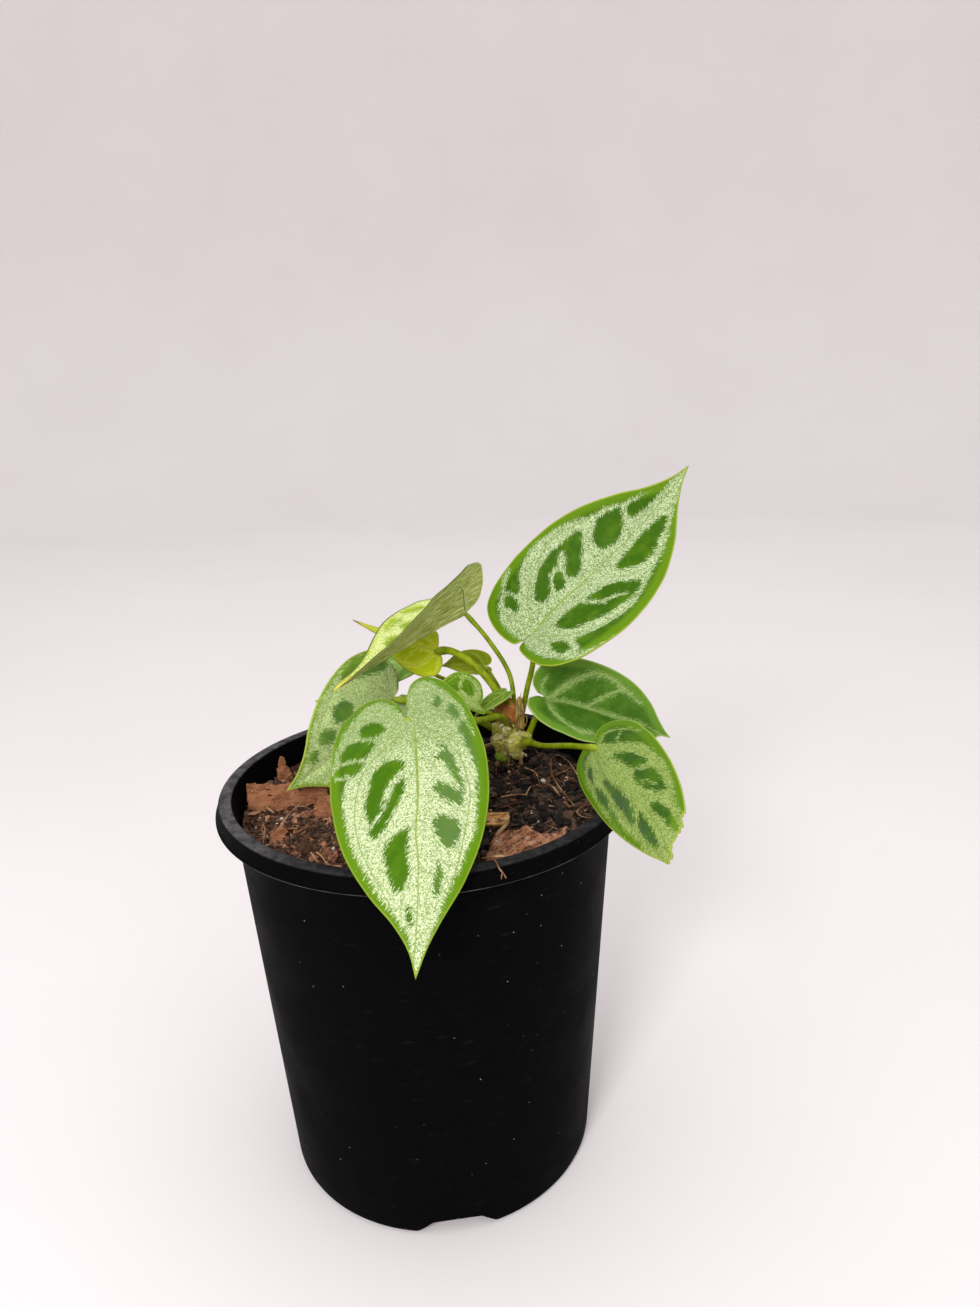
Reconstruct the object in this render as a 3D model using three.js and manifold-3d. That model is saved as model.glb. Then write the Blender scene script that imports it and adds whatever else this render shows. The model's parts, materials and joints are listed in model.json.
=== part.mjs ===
// A young heart-leaved foliage plant with silver-veined blades, in a round black nursery pot.
// Millimetres, +Z up. The origin is the centre of the pot's flat underside, +X runs to the right
// of the front view and +Y runs away from it.

import Module from 'manifold-3d';
import * as THREE from 'three';
import { mergeVertices } from 'three/addons/utils/BufferGeometryUtils.js';

const wasm = await Module();
wasm.setup();

// Driving dimensions

const CLEARANCE = 0.3; // kept between two pieces that touch

const POT = {
  height: 143.4,
  rimRadius: 70, // outer edge of the flat rim
  rimRound: 1.2, // radius of the rim's rounded outer edge
  skirtRadius: 71.2, // lower edge of the rim's skirt
  skirtBottom: 137.9,
  skirtWall: 1.3,
  flange: 1.6, // thickness of the rim's flat top
  mouthRadius: 65.6, // inner edge of the rim
  neckRadius: 65.3, // body just under the skirt
  footRadius: 56.2,
  footCorner: 2.6,
  wall: 1.3,
  floor: 2,
};

const DRAIN = { count: 4, turn: -83.6, width: 29, topWidth: 13, height: 6.4, reach: 9 };

const SOIL = { level: 134.2, swell: 1.1, ripple: 0.5, rings: 7, sectors: 40 };

const CROWN = { x: 31.5, y: 31, rootRadius: 4.2, rootDepth: 9 };

const BLADE_THICKNESS = 0.8;

// Half of the heart-shaped outline as (share of the half width, share of the length); a share of
// the length below zero is a share of the lobe that reaches back past the leaf stalk.
const HEART = [
  [0.06, -0.55],
  [0.2, -0.88],
  [0.42, -1],
  [0.68, -0.8],
  [0.86, -0.35],
  [0.96, 0.06],
  [1, 0.2],
  [0.95, 0.38],
  [0.8, 0.55],
  [0.55, 0.7],
  [0.27, 0.82],
  [0.1, 0.91],
  [0, 1],
];

// The same heart with a longer, narrower tip.
const LONG_TIPPED = [
  ...HEART.slice(0, 6),
  [1, 0.18],
  [0.95, 0.34],
  [0.8, 0.49],
  [0.55, 0.62],
  [0.28, 0.73],
  [0.1, 0.83],
  [0, 1],
];

// The same heart drawn out into a thin spike.
const SPIKED = [
  ...HEART.slice(0, 6),
  [1, 0.15],
  [0.92, 0.3],
  [0.7, 0.45],
  [0.38, 0.58],
  [0.16, 0.68],
  [0.09, 0.8],
  [0, 1],
];

// A pointed bract: broadest near its foot, without lobes to speak of.
const BRACT = [
  [0.12, -0.4],
  [0.5, -1],
  [0.85, -0.7],
  [1, 0.15],
  [0.9, 0.4],
  [0.62, 0.68],
  [0.3, 0.88],
  [0, 1],
];

// Each blade: where the stalk meets it, the compass heading of its tip seen from above (0 is +Y,
// 90 is +X), the rise of its midrib, its roll to the right, and its sizes. Pairs are left and
// right of the midrib, seen from above with the tip ahead. Bends, folds and twists are degrees.
// A blade without a shape of its own is a heart.
const LEAVES = {
  upper_right: {
    at: [40.5, 31.3, 184.1], heading: 74, rise: 36.3, roll: -24,
    length: 84, half: [27, 27.7], lobe: [8.5, 8],
    bend: -22, tipBend: 1, fold: [14, 17], cup: [3, -14], sway: 4.5, twist: -42,
    stalk: { radius: 1.05, path: [[34.3, 31.5, 146.5], [36.4, 32, 153], [38.6, 32, 163], [41, 32, 173.5]] },
  },
  front: {
    at: [-2.1, -30.3, 174.8], heading: 168.5, rise: -23, roll: 5,
    length: 80, half: [21.6, 27.3], lobe: [19.6, 16.5],
    bend: 28.5, tipBend: 16, fold: [13, -23], cup: [-10, -9.5], sway: 10.3, twist: 6,
    stalk: { radius: 1.35, path: [[31, 29.5, 148.5], [28.4, 24.8, 154.3], [20.2, 13, 157.8], [10, -7, 165]] },
  },
  right_middle: {
    at: [45.5, 26, 160.8], heading: 69, rise: -23.6, roll: -34,
    length: 61.5, half: [18.4, 19.8], lobe: [9, 10.6],
    bend: -2.5, tipBend: 19, fold: [64, 16.5], cup: [-2.5, -17], sway: 0, twist: 4,
    stalk: { radius: 1.15, path: [[36, 31, 140.5], [38.3, 30.5, 144], [40.6, 29.5, 150], [43.4, 27.6, 156.5]] },
  },
  right_lower: {
    at: [57.8, -21.5, 159.7], heading: 168, rise: -6.5, roll: -33.5,
    length: 62, half: [16.8, 13.4], lobe: [8.5, 7.2],
    bend: 29, tipBend: -1, fold: [1.6, -24.6], cup: [-13.4, -5], sway: 0, twist: 2,
    torn: { at: 49.7, slope: 0.72 },
    stalk: { radius: 1.05, path: [[33, 29, 141.5], [37.3, 26, 143.5], [42.2, 15.5, 146.1], [50.6, -5, 154]] },
  },
  left_folded: {
    shape: LONG_TIPPED,
    at: [16.1, 51.9, 188], heading: 216.5, rise: -6.5, roll: -14,
    length: 72.3, half: [24.7, 15.8], lobe: [9.8, 9.2],
    bend: 2.4, tipBend: 2.3, fold: [61.6, 39.6], cup: [-12, -12], sway: 5.6, twist: 32.2,
    stalk: { radius: 0.9, path: [[32.8, 32.5, 150], [33.4, 33, 158], [32, 37, 167.5], [24.5, 45, 179]] },
  },
  left_young: {
    shape: SPIKED,
    at: [4.2, 46, 174.8], heading: 257.5, rise: 20.5, roll: 30,
    length: 35.2, half: [12, 11], lobe: [3.1, 1],
    bend: -17, tipBend: 4, fold: [-15.5, 11.3], cup: [-12, -8.5], sway: 0.7, twist: 0,
    stalk: { radius: 1.4, path: [[30.4, 33.2, 152], [25.8, 34, 163.4], [18.4, 36.5, 171.9], [10.4, 41.4, 175.8]] },
  },
  left_lower: {
    at: [-12.5, 35, 159.7], heading: 202.5, rise: -9.5, roll: 64,
    length: 58.5, half: [22, 23.4], lobe: [11, 10.6],
    bend: 29, tipBend: 21, fold: [9, 6], cup: [-9, -12], sway: -1.5, twist: 2,
    stalk: { radius: 1.1, path: [[27.5, 33.5, 145.5], [17, 34, 151], [3, 34.8, 156]] },
  },
  small_round: {
    at: [19.7, 18.4, 162.1], heading: 233.5, rise: 33, roll: 37,
    length: 21.5, half: [5.1, 10.8], lobe: [3.4, 2.8],
    bend: 5.5, tipBend: 10, fold: [8, 19.5], cup: [-10, 0], sway: 0, twist: 1,
    stalk: { radius: 0.65, path: [[29, 30.5, 150], [27, 26.5, 154.8], [23.8, 21, 157.4], [20.8, 18.6, 160]] },
  },
  small_narrow: {
    at: [29.6, 28.6, 162.4], heading: 238, rise: -18, roll: 0,
    length: 15.2, half: [4.7, 4.8], lobe: [2.5, 2.5],
    bend: 12, tipBend: 7, fold: [7, 7], cup: [-8.5, -11], sway: 0, twist: 3,
    stalk: { radius: 0.65, path: [[31.8, 30.6, 150.5], [31.4, 30.4, 156], [30.4, 29.4, 160.2]] },
  },
  small_pale: {
    at: [22.7, 54.5, 165.5], heading: 262, rise: 11, roll: 38,
    length: 17.5, half: [4.8, 6.9], lobe: [3.1, 3.1],
    bend: 16, tipBend: 16, fold: [8, 11.5], cup: [-10, -8], sway: 0, twist: 2.5,
    stalk: { radius: 0.65, path: [[31.2, 35.5, 150], [29.4, 43, 157], [25.4, 50.5, 162.8]] },
  },
  far_left: {
    at: [-10.2, 60, 165.6], heading: 253.5, rise: -13, roll: 12,
    length: 38, half: [11.5, 11.2], lobe: [5.3, 5.3],
    bend: 5, tipBend: 8, fold: [6.5, 3], cup: [-10, -14.5], sway: 0, twist: 1.5,
    stalk: { radius: 0.8, path: [[30.4, 33.4, 146], [18, 46, 155.5], [4, 55.5, 161.5]] },
  },
};

// Dry sheaths that wrapped the young stalks, modelled as bracts on the crown.
const SHEATHS = {
  papery_sheath: {
    shape: BRACT,
    at: [29.4, 29, 152.6], heading: 20, rise: 80, roll: 8,
    length: 11.5, half: [4.9, 5.4], lobe: [2.4, 2.4],
    bend: 6, tipBend: 0, fold: [-10, -10], cup: [-45, -45], sway: 0, twist: 0,
  },
  fibrous_sheath: {
    shape: BRACT,
    at: [34.6, 27.2, 149.6], heading: 20, rise: 80, roll: 2,
    length: 12.5, half: [2.6, 2.8], lobe: [1.2, 1.2],
    bend: 4, tipBend: 0, fold: [-8, -8], cup: [-55, -55], sway: 0, twist: 0,
  },
};

// The crown's swollen nodes: centre, then half sizes.
const CROWN_NODES = [
  { at: [31.5, 31.5, 142], half: [5.6, 5.2, 7.6] },
  { at: [34.6, 28.6, 143.4], half: [5.4, 4, 3.4] },
  { at: [28.6, 29, 147.6], half: [4.2, 4, 3.6] },
  { at: [32.4, 32, 149], half: [3.8, 3.6, 3.4] },
  { at: [28.2, 27.6, 139.4], half: [2.6, 2.2, 3.4] },
  { at: [33.6, 26.8, 138], half: [3, 1.8, 2.6] },
  { at: [26.4, 29.6, 143], half: [2.4, 2.4, 3.6] },
];

// Bark pieces: outline on the piece's own plane, thickness, and how the piece lies.
const CHIPS = {
  bark_left: {
    outline: [
      [-15, -4.8], [-15.2, 0.4], [-15, 4.4], [-13.6, 4.7], [-10.4, 4], [-8, 4.3], [-5.3, 3.1], [0.6, 3.2],
      [5.6, 2.4], [12.5, 1.6], [13, -4], [5, -6], [-5, -5.8], [-12, -5.6],
    ],
    thickness: 3.2, at: [-47.5, 2.5, 137.6], lean: 58, turn: 11,
  },
  bark_left_low: {
    outline: [[-9, -4.5], [-8.5, 3], [-2, 4.2], [5, 3.4], [9, 1], [8, -4], [0, -5.5]],
    thickness: 3, at: [-29, -6, 135.6], lean: 30, turn: -8,
  },
  bark_left_front: {
    outline: [
      [-3.6, -6], [-2.6, -1], [-2.4, 1], [-1.6, 1.8], [1.3, 3.5], [2.6, 2.6], [3.7, 1.1], [1.7, -1.3],
      [0.6, -4], [-0.4, -6.2],
    ],
    thickness: 2.2, at: [-46.5, -27.5, 135.6], lean: 34, turn: 14,
  },
  bark_upright: {
    outline: [
      [-3.4, -6], [-2.4, -2], [-1.7, 0.4], [-1.3, 3], [-0.7, 4.5], [1, 4], [1.5, 0.7], [2.7, -1.9], [3.9, -6],
    ],
    thickness: 2.2, at: [-54.6, 24.5, 137.6], lean: 76, turn: 20,
  },
  bark_front: {
    outline: [
      [-16.8, -2.6], [-16.2, -0.2], [-13.2, 1.6], [-11.4, 3.8], [-9.4, 5.2], [-5, 6.3], [-3.2, 6.2], [0.4, 4.7],
      [2.1, 5.4], [3.7, 5.3], [4.6, 2.4], [6, 0.2], [8.6, -1.1], [10.4, -1.3], [13.2, -0.6], [15.8, -0.4],
      [14.2, -2.4], [11, -3.8], [6, -5.4], [-2, -6.2], [-10, -5.6], [-15, -4.6],
    ],
    thickness: 2.2, at: [33.4, -39, 136.2], lean: 22, turn: 34,
  },
  wood_chip: {
    outline: [[-4, -3.2], [-3.9, 1.3], [3.7, 1.6], [3.8, -1.6], [2.6, -3.5]],
    thickness: 3, at: [25, -21.5, 136.2], lean: 34, turn: -4,
  },
};

const COLOURS = {
  potBlack: { color: 0x17181a, roughness: 0.5, metalness: 0 },
  soilBrown: { color: 0x3a2a20, roughness: 0.95, metalness: 0 },
  barkRed: { color: 0x8a5238, roughness: 0.88, metalness: 0 },
  woodTan: { color: 0xa9764a, roughness: 0.85, metalness: 0 },
  crownOlive: { color: 0x7d8a3a, roughness: 0.6, metalness: 0 },
  sheathBrown: { color: 0x7a4426, roughness: 0.7, metalness: 0 },
  sheathTan: { color: 0xa98a55, roughness: 0.8, metalness: 0 },
  stalkGreen: { color: 0x7d9a1e, roughness: 0.5, metalness: 0 },
  bladeSilver: { color: 0x9cc070, roughness: 0.4, metalness: 0 },
  bladeDeep: { color: 0x4d8a30, roughness: 0.45, metalness: 0 },
  bladeYoung: { color: 0x9fbe2e, roughness: 0.45, metalness: 0 },
  bladePale: { color: 0x9cb266, roughness: 0.55, metalness: 0 },
};

const BLADE_COLOURS = {
  upper_right: 'bladeSilver',
  front: 'bladeSilver',
  right_middle: 'bladeDeep',
  right_lower: 'bladeSilver',
  left_folded: 'bladePale',
  left_young: 'bladeYoung',
  left_lower: 'bladeSilver',
  small_round: 'bladeDeep',
  small_narrow: 'bladeDeep',
  small_pale: 'bladePale',
  far_left: 'bladePale',
};

const OUTLINE_STEPS = { large: 2, small: 1 }; // curve steps between two outline points
const RINGS = { large: [0.3, 0.62, 1], small: [0.5, 1] }; // shares of the way to the margin
const LARGE_BLADE = 50; // length from which a blade gets the finer division

// Helpers

const radians = THREE.MathUtils.degToRad;

function signedVolume(points, faces) {
  const a = new THREE.Vector3();
  const b = new THREE.Vector3();
  const c = new THREE.Vector3();
  let sum = 0;
  for (let i = 0; i < faces.length; i += 3) {
    a.fromArray(points, 3 * faces[i]);
    b.fromArray(points, 3 * faces[i + 1]);
    c.fromArray(points, 3 * faces[i + 2]);
    sum += a.dot(b.cross(c)) / 6;
  }
  return sum;
}

// A closed geometry as a solid, with its faces turned outward.
function toSolid(geometry) {
  const bare = geometry.clone();
  bare.deleteAttribute('normal');
  bare.deleteAttribute('uv');
  const merged = mergeVertices(bare, 1e-4);
  const vertProperties = Float32Array.from(merged.attributes.position.array);
  const triVerts = Uint32Array.from(merged.index.array);
  if (signedVolume(vertProperties, triVerts) < 0) {
    for (let i = 0; i < triVerts.length; i += 3) {
      [triVerts[i], triVerts[i + 1]] = [triVerts[i + 1], triVerts[i]];
    }
  }
  return new wasm.Manifold(new wasm.Mesh({ numProp: 3, vertProperties, triVerts }));
}

function toGeometry(solid) {
  const { vertProperties, triVerts } = solid.getMesh();
  const geometry = new THREE.BufferGeometry();
  geometry.setAttribute('position', new THREE.BufferAttribute(Float32Array.from(vertProperties), 3));
  geometry.setIndex(new THREE.BufferAttribute(Uint32Array.from(triVerts), 1));
  geometry.computeVertexNormals();
  return geometry;
}

// The biggest of a solid's separate bodies, so that a cut leaves no crumb.
function biggestBody(solid) {
  return solid.decompose().reduce((best, body) => (body.volume() > best.volume() ? body : best));
}

function namedMesh(name, solid, colour) {
  const mesh = new THREE.Mesh(toGeometry(solid), new THREE.MeshStandardMaterial(COLOURS[colour]));
  mesh.name = name;
  return mesh;
}

// Smooth curve through the outline's points, the same number of steps between each two.
function smoothThrough(points, steps) {
  const last = points.length - 1;
  const reflect = (a, b) => [2 * a[0] - b[0], 2 * a[1] - b[1]];
  const p = [reflect(points[0], points[1]), ...points, reflect(points[last], points[last - 1])];
  const curve = [];
  for (let i = 1; i <= last; i++) {
    for (let k = 0; k < steps; k++) {
      const t = k / steps;
      const axis = (d) => 0.5 * (2 * p[i][d] + (p[i + 1][d] - p[i - 1][d]) * t
        + (2 * p[i - 1][d] - 5 * p[i][d] + 4 * p[i + 1][d] - p[i + 2][d]) * t * t
        + (3 * p[i][d] - p[i - 1][d] - 3 * p[i + 1][d] + p[i + 2][d]) * t ** 3);
      curve.push([axis(0), axis(1)]);
    }
  }
  curve.push(points[last]);
  return curve;
}

// The blade's outline laid flat: along the left side from the stalk to the tip, then back.
function flatOutline(leaf, steps) {
  const side = (index) => smoothThrough(
    (leaf.shape ?? HEART).map(([across, along]) => [
      across * leaf.half[index],
      along * (along < 0 ? leaf.lobe[index] : leaf.length),
    ]),
    steps,
  );
  const left = side(0).map(([x, y]) => [-x, y]);
  const right = side(1).reverse().slice(1);
  const outline = [...left, ...right];
  if (!leaf.torn) {
    return outline;
  }
  return outline.map(([x, y]) => {
    const share = leaf.torn.at / (y - leaf.torn.slope * x);
    return share > 0 && share < 1 ? [x * share, y * share] : [x, y];
  });
}

// Where a point of the flat blade lies once the blade is bent, folded, cupped and twisted.
function bladePoint(leaf, x, y) {
  const heading = radians(leaf.heading);
  const rise = radians(leaf.rise);
  const roll = radians(leaf.roll);
  const along = new THREE.Vector3(
    Math.cos(rise) * Math.sin(heading), Math.cos(rise) * Math.cos(heading), Math.sin(rise),
  );
  const level = new THREE.Vector3(Math.cos(heading), -Math.sin(heading), 0);
  const upright = new THREE.Vector3().crossVectors(level, along);
  const across = level.clone().multiplyScalar(Math.cos(roll)).addScaledVector(upright, Math.sin(roll));
  const face = upright.clone().multiplyScalar(Math.cos(roll)).addScaledVector(level, -Math.sin(roll));

  const share = y / leaf.length;
  const turned = (part) => {
    const s = share * part;
    return -radians(leaf.bend) * s - (s > 0 ? radians(leaf.tipBend) * s ** 4 : 0);
  };
  const steps = 12;
  const point = new THREE.Vector3(...leaf.at);
  for (let i = 0; i < steps; i++) {
    const part = (i + 0.5) / steps;
    const turn = turned(part);
    const swing = radians(leaf.sway) * share * part;
    const length = y / steps;
    point.addScaledVector(along, Math.cos(turn) * Math.cos(swing) * length);
    point.addScaledVector(face, Math.sin(turn) * Math.cos(swing) * length);
    point.addScaledVector(across, Math.sin(swing) * length);
  }

  const turnHere = turned(1);
  const faceHere = face.clone().multiplyScalar(Math.cos(turnHere)).addScaledVector(along, -Math.sin(turnHere));
  const twist = radians(leaf.twist) * share;
  const sideways = across.clone().multiplyScalar(Math.cos(twist)).addScaledVector(faceHere, Math.sin(twist));
  const upward = faceHere.clone().multiplyScalar(Math.cos(twist)).addScaledVector(across, -Math.sin(twist));

  const index = x < 0 ? 0 : 1;
  const reach = Math.abs(x);
  const slices = 6;
  for (let i = 0; i < slices; i++) {
    const part = (i + 0.5) / slices;
    const slope = radians(leaf.fold[index]) + radians(leaf.cup[index]) * (reach / leaf.half[index]) * part;
    point.addScaledVector(sideways, Math.sign(x) * Math.cos(slope) * (reach / slices));
    point.addScaledVector(upward, Math.sin(slope) * (reach / slices));
  }
  return point;
}

function bladeNormal(leaf, x, y) {
  const step = 0.4;
  const across = bladePoint(leaf, x + step, y).sub(bladePoint(leaf, x - step, y));
  const along = bladePoint(leaf, x, y + step).sub(bladePoint(leaf, x, y - step));
  return across.cross(along).normalize();
}

// A blade as a thin closed solid: rings of points round the stalk, open at the cleft behind it.
// The room that a blade takes is the same solid grown a little, with the cleft filled.
function bladeSolid(leaf, grow = 0) {
  const large = leaf.length > LARGE_BLADE;
  const outline = flatOutline(leaf, large ? OUTLINE_STEPS.large : OUTLINE_STEPS.small);
  const rings = large ? RINGS.large : RINGS.small;
  const count = outline.length;
  const half = BLADE_THICKNESS / 2 + grow;
  const top = [];
  const bottom = [];
  const addPoint = (x, y) => {
    const middle = bladePoint(leaf, x, y);
    const normal = bladeNormal(leaf, x, y);
    top.push(...middle.clone().addScaledVector(normal, half).toArray());
    bottom.push(...middle.clone().addScaledVector(normal, -half).toArray());
  };
  addPoint(0, 0);
  for (const ring of rings) {
    for (const [x, y] of outline) {
      const share = ring * (1 + grow / Math.hypot(x, y));
      addPoint(x * share, y * share);
    }
  }
  const under = top.length / 3;
  const at = (ring, j) => 1 + ring * count + j;
  const faces = [];
  const bothFaces = (a, b, c) => faces.push(a, b, c, under + a, under + c, under + b);
  const wall = (a, b) => faces.push(a, under + a, under + b, a, under + b, b);
  for (let j = 0; j < count - 1; j++) {
    bothFaces(0, at(0, j + 1), at(0, j));
    for (let ring = 0; ring < rings.length - 1; ring++) {
      bothFaces(at(ring, j), at(ring, j + 1), at(ring + 1, j + 1));
      bothFaces(at(ring, j), at(ring + 1, j + 1), at(ring + 1, j));
    }
    wall(at(rings.length - 1, j + 1), at(rings.length - 1, j));
  }
  if (grow > 0) {
    bothFaces(0, at(0, 0), at(0, count - 1));
    for (let ring = 0; ring < rings.length - 1; ring++) {
      bothFaces(at(ring, count - 1), at(ring, 0), at(ring + 1, 0));
      bothFaces(at(ring, count - 1), at(ring + 1, 0), at(ring + 1, count - 1));
    }
    wall(at(rings.length - 1, 0), at(rings.length - 1, count - 1));
  } else {
    wall(at(0, 0), 0);
    wall(0, at(0, count - 1));
    for (let ring = 0; ring < rings.length - 1; ring++) {
      wall(at(ring + 1, 0), at(ring, 0));
      wall(at(ring, count - 1), at(ring + 1, count - 1));
    }
  }
  const geometry = new THREE.BufferGeometry();
  geometry.setAttribute('position', new THREE.Float32BufferAttribute([...top, ...bottom], 3));
  geometry.setIndex(faces);
  return toSolid(geometry);
}

// A round stalk along a curve that ends at the blade.
function stalkSolid(leaf, grow = 0) {
  const section = new THREE.Shape().absarc(0, 0, leaf.stalk.radius + grow, 0, 2 * Math.PI, false);
  const path = new THREE.CatmullRomCurve3(
    [...leaf.stalk.path, leaf.at].map((point) => new THREE.Vector3(...point)),
  );
  const geometry = new THREE.ExtrudeGeometry(section, {
    curveSegments: 4,
    steps: 10,
    extrudePath: path,
    bevelEnabled: false,
  });
  return toSolid(geometry);
}

function potSolid() {
  const corner = Array.from({ length: 4 }, (_, i) => {
    const angle = radians(-90 + i * 30);
    return [
      POT.footRadius - POT.footCorner + POT.footCorner * Math.cos(angle),
      POT.footCorner + POT.footCorner * Math.sin(angle),
    ];
  });
  const rimEdge = Array.from({ length: 4 }, (_, i) => {
    const angle = radians(i * 30);
    return [
      POT.rimRadius - POT.rimRound + POT.rimRound * Math.cos(angle),
      POT.height - POT.rimRound + POT.rimRound * Math.sin(angle),
    ];
  });
  const underRim = POT.height - POT.flange;
  const profile = [
    [0, 0],
    ...corner,
    [POT.neckRadius, POT.skirtBottom],
    [POT.neckRadius + POT.wall, underRim],
    [POT.rimRadius - POT.skirtWall, underRim],
    [POT.skirtRadius - POT.skirtWall, POT.skirtBottom],
    [POT.skirtRadius, POT.skirtBottom],
    ...rimEdge,
    [POT.mouthRadius, POT.height],
    [POT.neckRadius - POT.wall, POT.skirtBottom],
    [POT.footRadius - POT.wall - 0.6, POT.floor + 1.4],
    [POT.footRadius - POT.wall - 2.2, POT.floor],
    [0, POT.floor],
  ].map(([r, z]) => new THREE.Vector2(r, z));
  const shell = new THREE.LatheGeometry(profile, 56);
  shell.rotateX(Math.PI / 2);

  const arch = new THREE.Shape([
    [-DRAIN.width / 2, -1],
    [-DRAIN.width / 2, 0.6],
    [-DRAIN.topWidth / 2, DRAIN.height],
    [DRAIN.topWidth / 2, DRAIN.height],
    [DRAIN.width / 2, 0.6],
    [DRAIN.width / 2, -1],
  ].map(([x, z]) => new THREE.Vector2(x, z)));
  let solid = toSolid(shell);
  for (let i = 0; i < DRAIN.count; i++) {
    const notch = new THREE.ExtrudeGeometry(arch, { depth: DRAIN.reach, bevelEnabled: false });
    notch.rotateX(Math.PI / 2);
    notch.rotateZ(Math.PI / 2);
    notch.translate(POT.footRadius - DRAIN.reach / 2 - 1, 0, 0);
    notch.rotateZ(radians(DRAIN.turn + (360 / DRAIN.count) * i));
    solid = solid.subtract(toSolid(notch));
  }
  return solid;
}

function soilHeight(x, y) {
  const swell = Math.sin(x / 21 + 0.7) * Math.cos(y / 17 - 0.5);
  const ripple = Math.sin(x / 6.3 + y / 8.1) * Math.cos(y / 5.7 - x / 9.4);
  return SOIL.level + SOIL.swell * swell + SOIL.ripple * ripple;
}

function soilSolid() {
  const wallRadius = (z) => THREE.MathUtils.mapLinear(
    z, POT.floor + 1.4, POT.skirtBottom,
    POT.footRadius - POT.wall - 0.6, POT.neckRadius - POT.wall,
  ) - CLEARANCE;
  const bottom = POT.floor + CLEARANCE;
  const edge = SOIL.level - 2.5;
  const rings = Array.from({ length: SOIL.rings }, (_, i) => 1 - i / SOIL.rings);
  const profile = [
    [0, bottom],
    [wallRadius(POT.floor + 1.4) - 2, bottom],
    [wallRadius(POT.floor + 1.4) - 0.3, POT.floor + 2],
    [wallRadius(edge) - 0.2, edge],
    ...rings.map((share) => [share * (wallRadius(SOIL.level) - 0.3), SOIL.level]),
    [0, SOIL.level],
  ].map(([r, z]) => new THREE.Vector2(r, z));
  const geometry = new THREE.LatheGeometry(profile, SOIL.sectors);
  geometry.rotateX(Math.PI / 2);
  const position = geometry.attributes.position;
  for (let i = 0; i < position.count; i++) {
    if (position.getZ(i) > SOIL.level - 0.01) {
      position.setZ(i, soilHeight(position.getX(i), position.getY(i)));
    }
  }
  return toSolid(geometry);
}

function ellipsoid(node, grow) {
  const ball = new THREE.SphereGeometry(1, 10, 7);
  ball.scale(node.half[0] + grow, node.half[1] + grow, node.half[2] + grow);
  ball.rotateX(Math.PI / 2);
  ball.translate(...node.at);
  return toSolid(ball);
}

// The crown: swollen nodes grown together above the soil on a short root stock in it.
function crownSolid(grow = 0) {
  const root = new THREE.CylinderGeometry(CROWN.rootRadius + grow, CROWN.rootRadius + grow, 1, 16);
  root.rotateX(Math.PI / 2);
  root.scale(1, 1, CROWN.rootDepth + 6 + 2 * grow);
  root.translate(CROWN.x, CROWN.y, SOIL.level - CROWN.rootDepth / 2 + 3);
  const lumps = CROWN_NODES.map((node) => ellipsoid(node, grow)).reduce((all, lump) => all.add(lump));
  return lumps.add(toSolid(root));
}

// A bark piece: its outline thickened, leaned back about X and turned about Z.
function chipSolid(chip, grow = 0) {
  const outline = new THREE.Shape(chip.outline.map(([x, y]) => new THREE.Vector2(x, y)));
  const piece = new THREE.ExtrudeGeometry(outline, {
    depth: chip.thickness - 2 * 0.5,
    bevelEnabled: true,
    bevelThickness: 0.5 + grow,
    bevelSize: grow,
    bevelSegments: 1,
  });
  piece.translate(0, 0, 0.5 - chip.thickness / 2);
  piece.rotateX(radians(chip.lean));
  piece.rotateZ(radians(chip.turn));
  piece.translate(...chip.at);
  return toSolid(piece);
}

// Assembly

const plant = new THREE.Group();

plant.add(namedMesh('pot', potSolid(), 'potBlack'));

const crownRoom = crownSolid(CLEARANCE);
let soil = soilSolid().subtract(crownRoom);
for (const chip of Object.values(CHIPS)) {
  soil = soil.subtract(chipSolid(chip, CLEARANCE));
}
plant.add(namedMesh('potting_soil', biggestBody(soil), 'soilBrown'));

for (const [name, chip] of Object.entries(CHIPS)) {
  plant.add(namedMesh(name, chipSolid(chip), name === 'wood_chip' ? 'woodTan' : 'barkRed'));
}

plant.add(namedMesh('crown', crownSolid(), 'crownOlive'));

for (const [name, leaf] of Object.entries(LEAVES)) {
  plant.add(namedMesh(`blade_${name}`, bladeSolid(leaf), BLADE_COLOURS[name]));
  const stalk = stalkSolid(leaf).subtract(crownRoom).subtract(bladeSolid(leaf, CLEARANCE));
  plant.add(namedMesh(`stalk_${name}`, biggestBody(stalk), 'stalkGreen'));
}

// The dry sheaths are torn where stalks and the smallest blade pass through them.
const stalkRoom = Object.values(LEAVES).map((leaf) => stalkSolid(leaf, CLEARANCE));
const throughSheaths = [crownRoom, bladeSolid(LEAVES.small_narrow, CLEARANCE), ...stalkRoom];
for (const [name, sheath] of Object.entries(SHEATHS)) {
  const bract = throughSheaths.reduce((rest, cutter) => rest.subtract(cutter), bladeSolid(sheath));
  plant.add(namedMesh(name, biggestBody(bract), name === 'papery_sheath' ? 'sheathBrown' : 'sheathTan'));
  throughSheaths.push(bladeSolid(sheath, CLEARANCE));
}

export default plant;
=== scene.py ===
# %% [markdown]
# # A silver-veined crystal anthurium in its nursery pot
# The plant was rebuilt from one photograph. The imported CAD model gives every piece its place, and
# this script dresses it: finer blades with their silver veins, a crown, bark, crumbs and roots.
# Lengths are worked out in millimetres, because that suits a small plant, and turned into
# Blender's metres only where a vertex is placed.

# %% Load the fixed frame
import json
import math
import random

import bmesh
import bpy
import numpy as np
from mathutils import Matrix, Vector, noise
from mathutils.bvhtree import BVHTree

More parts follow.
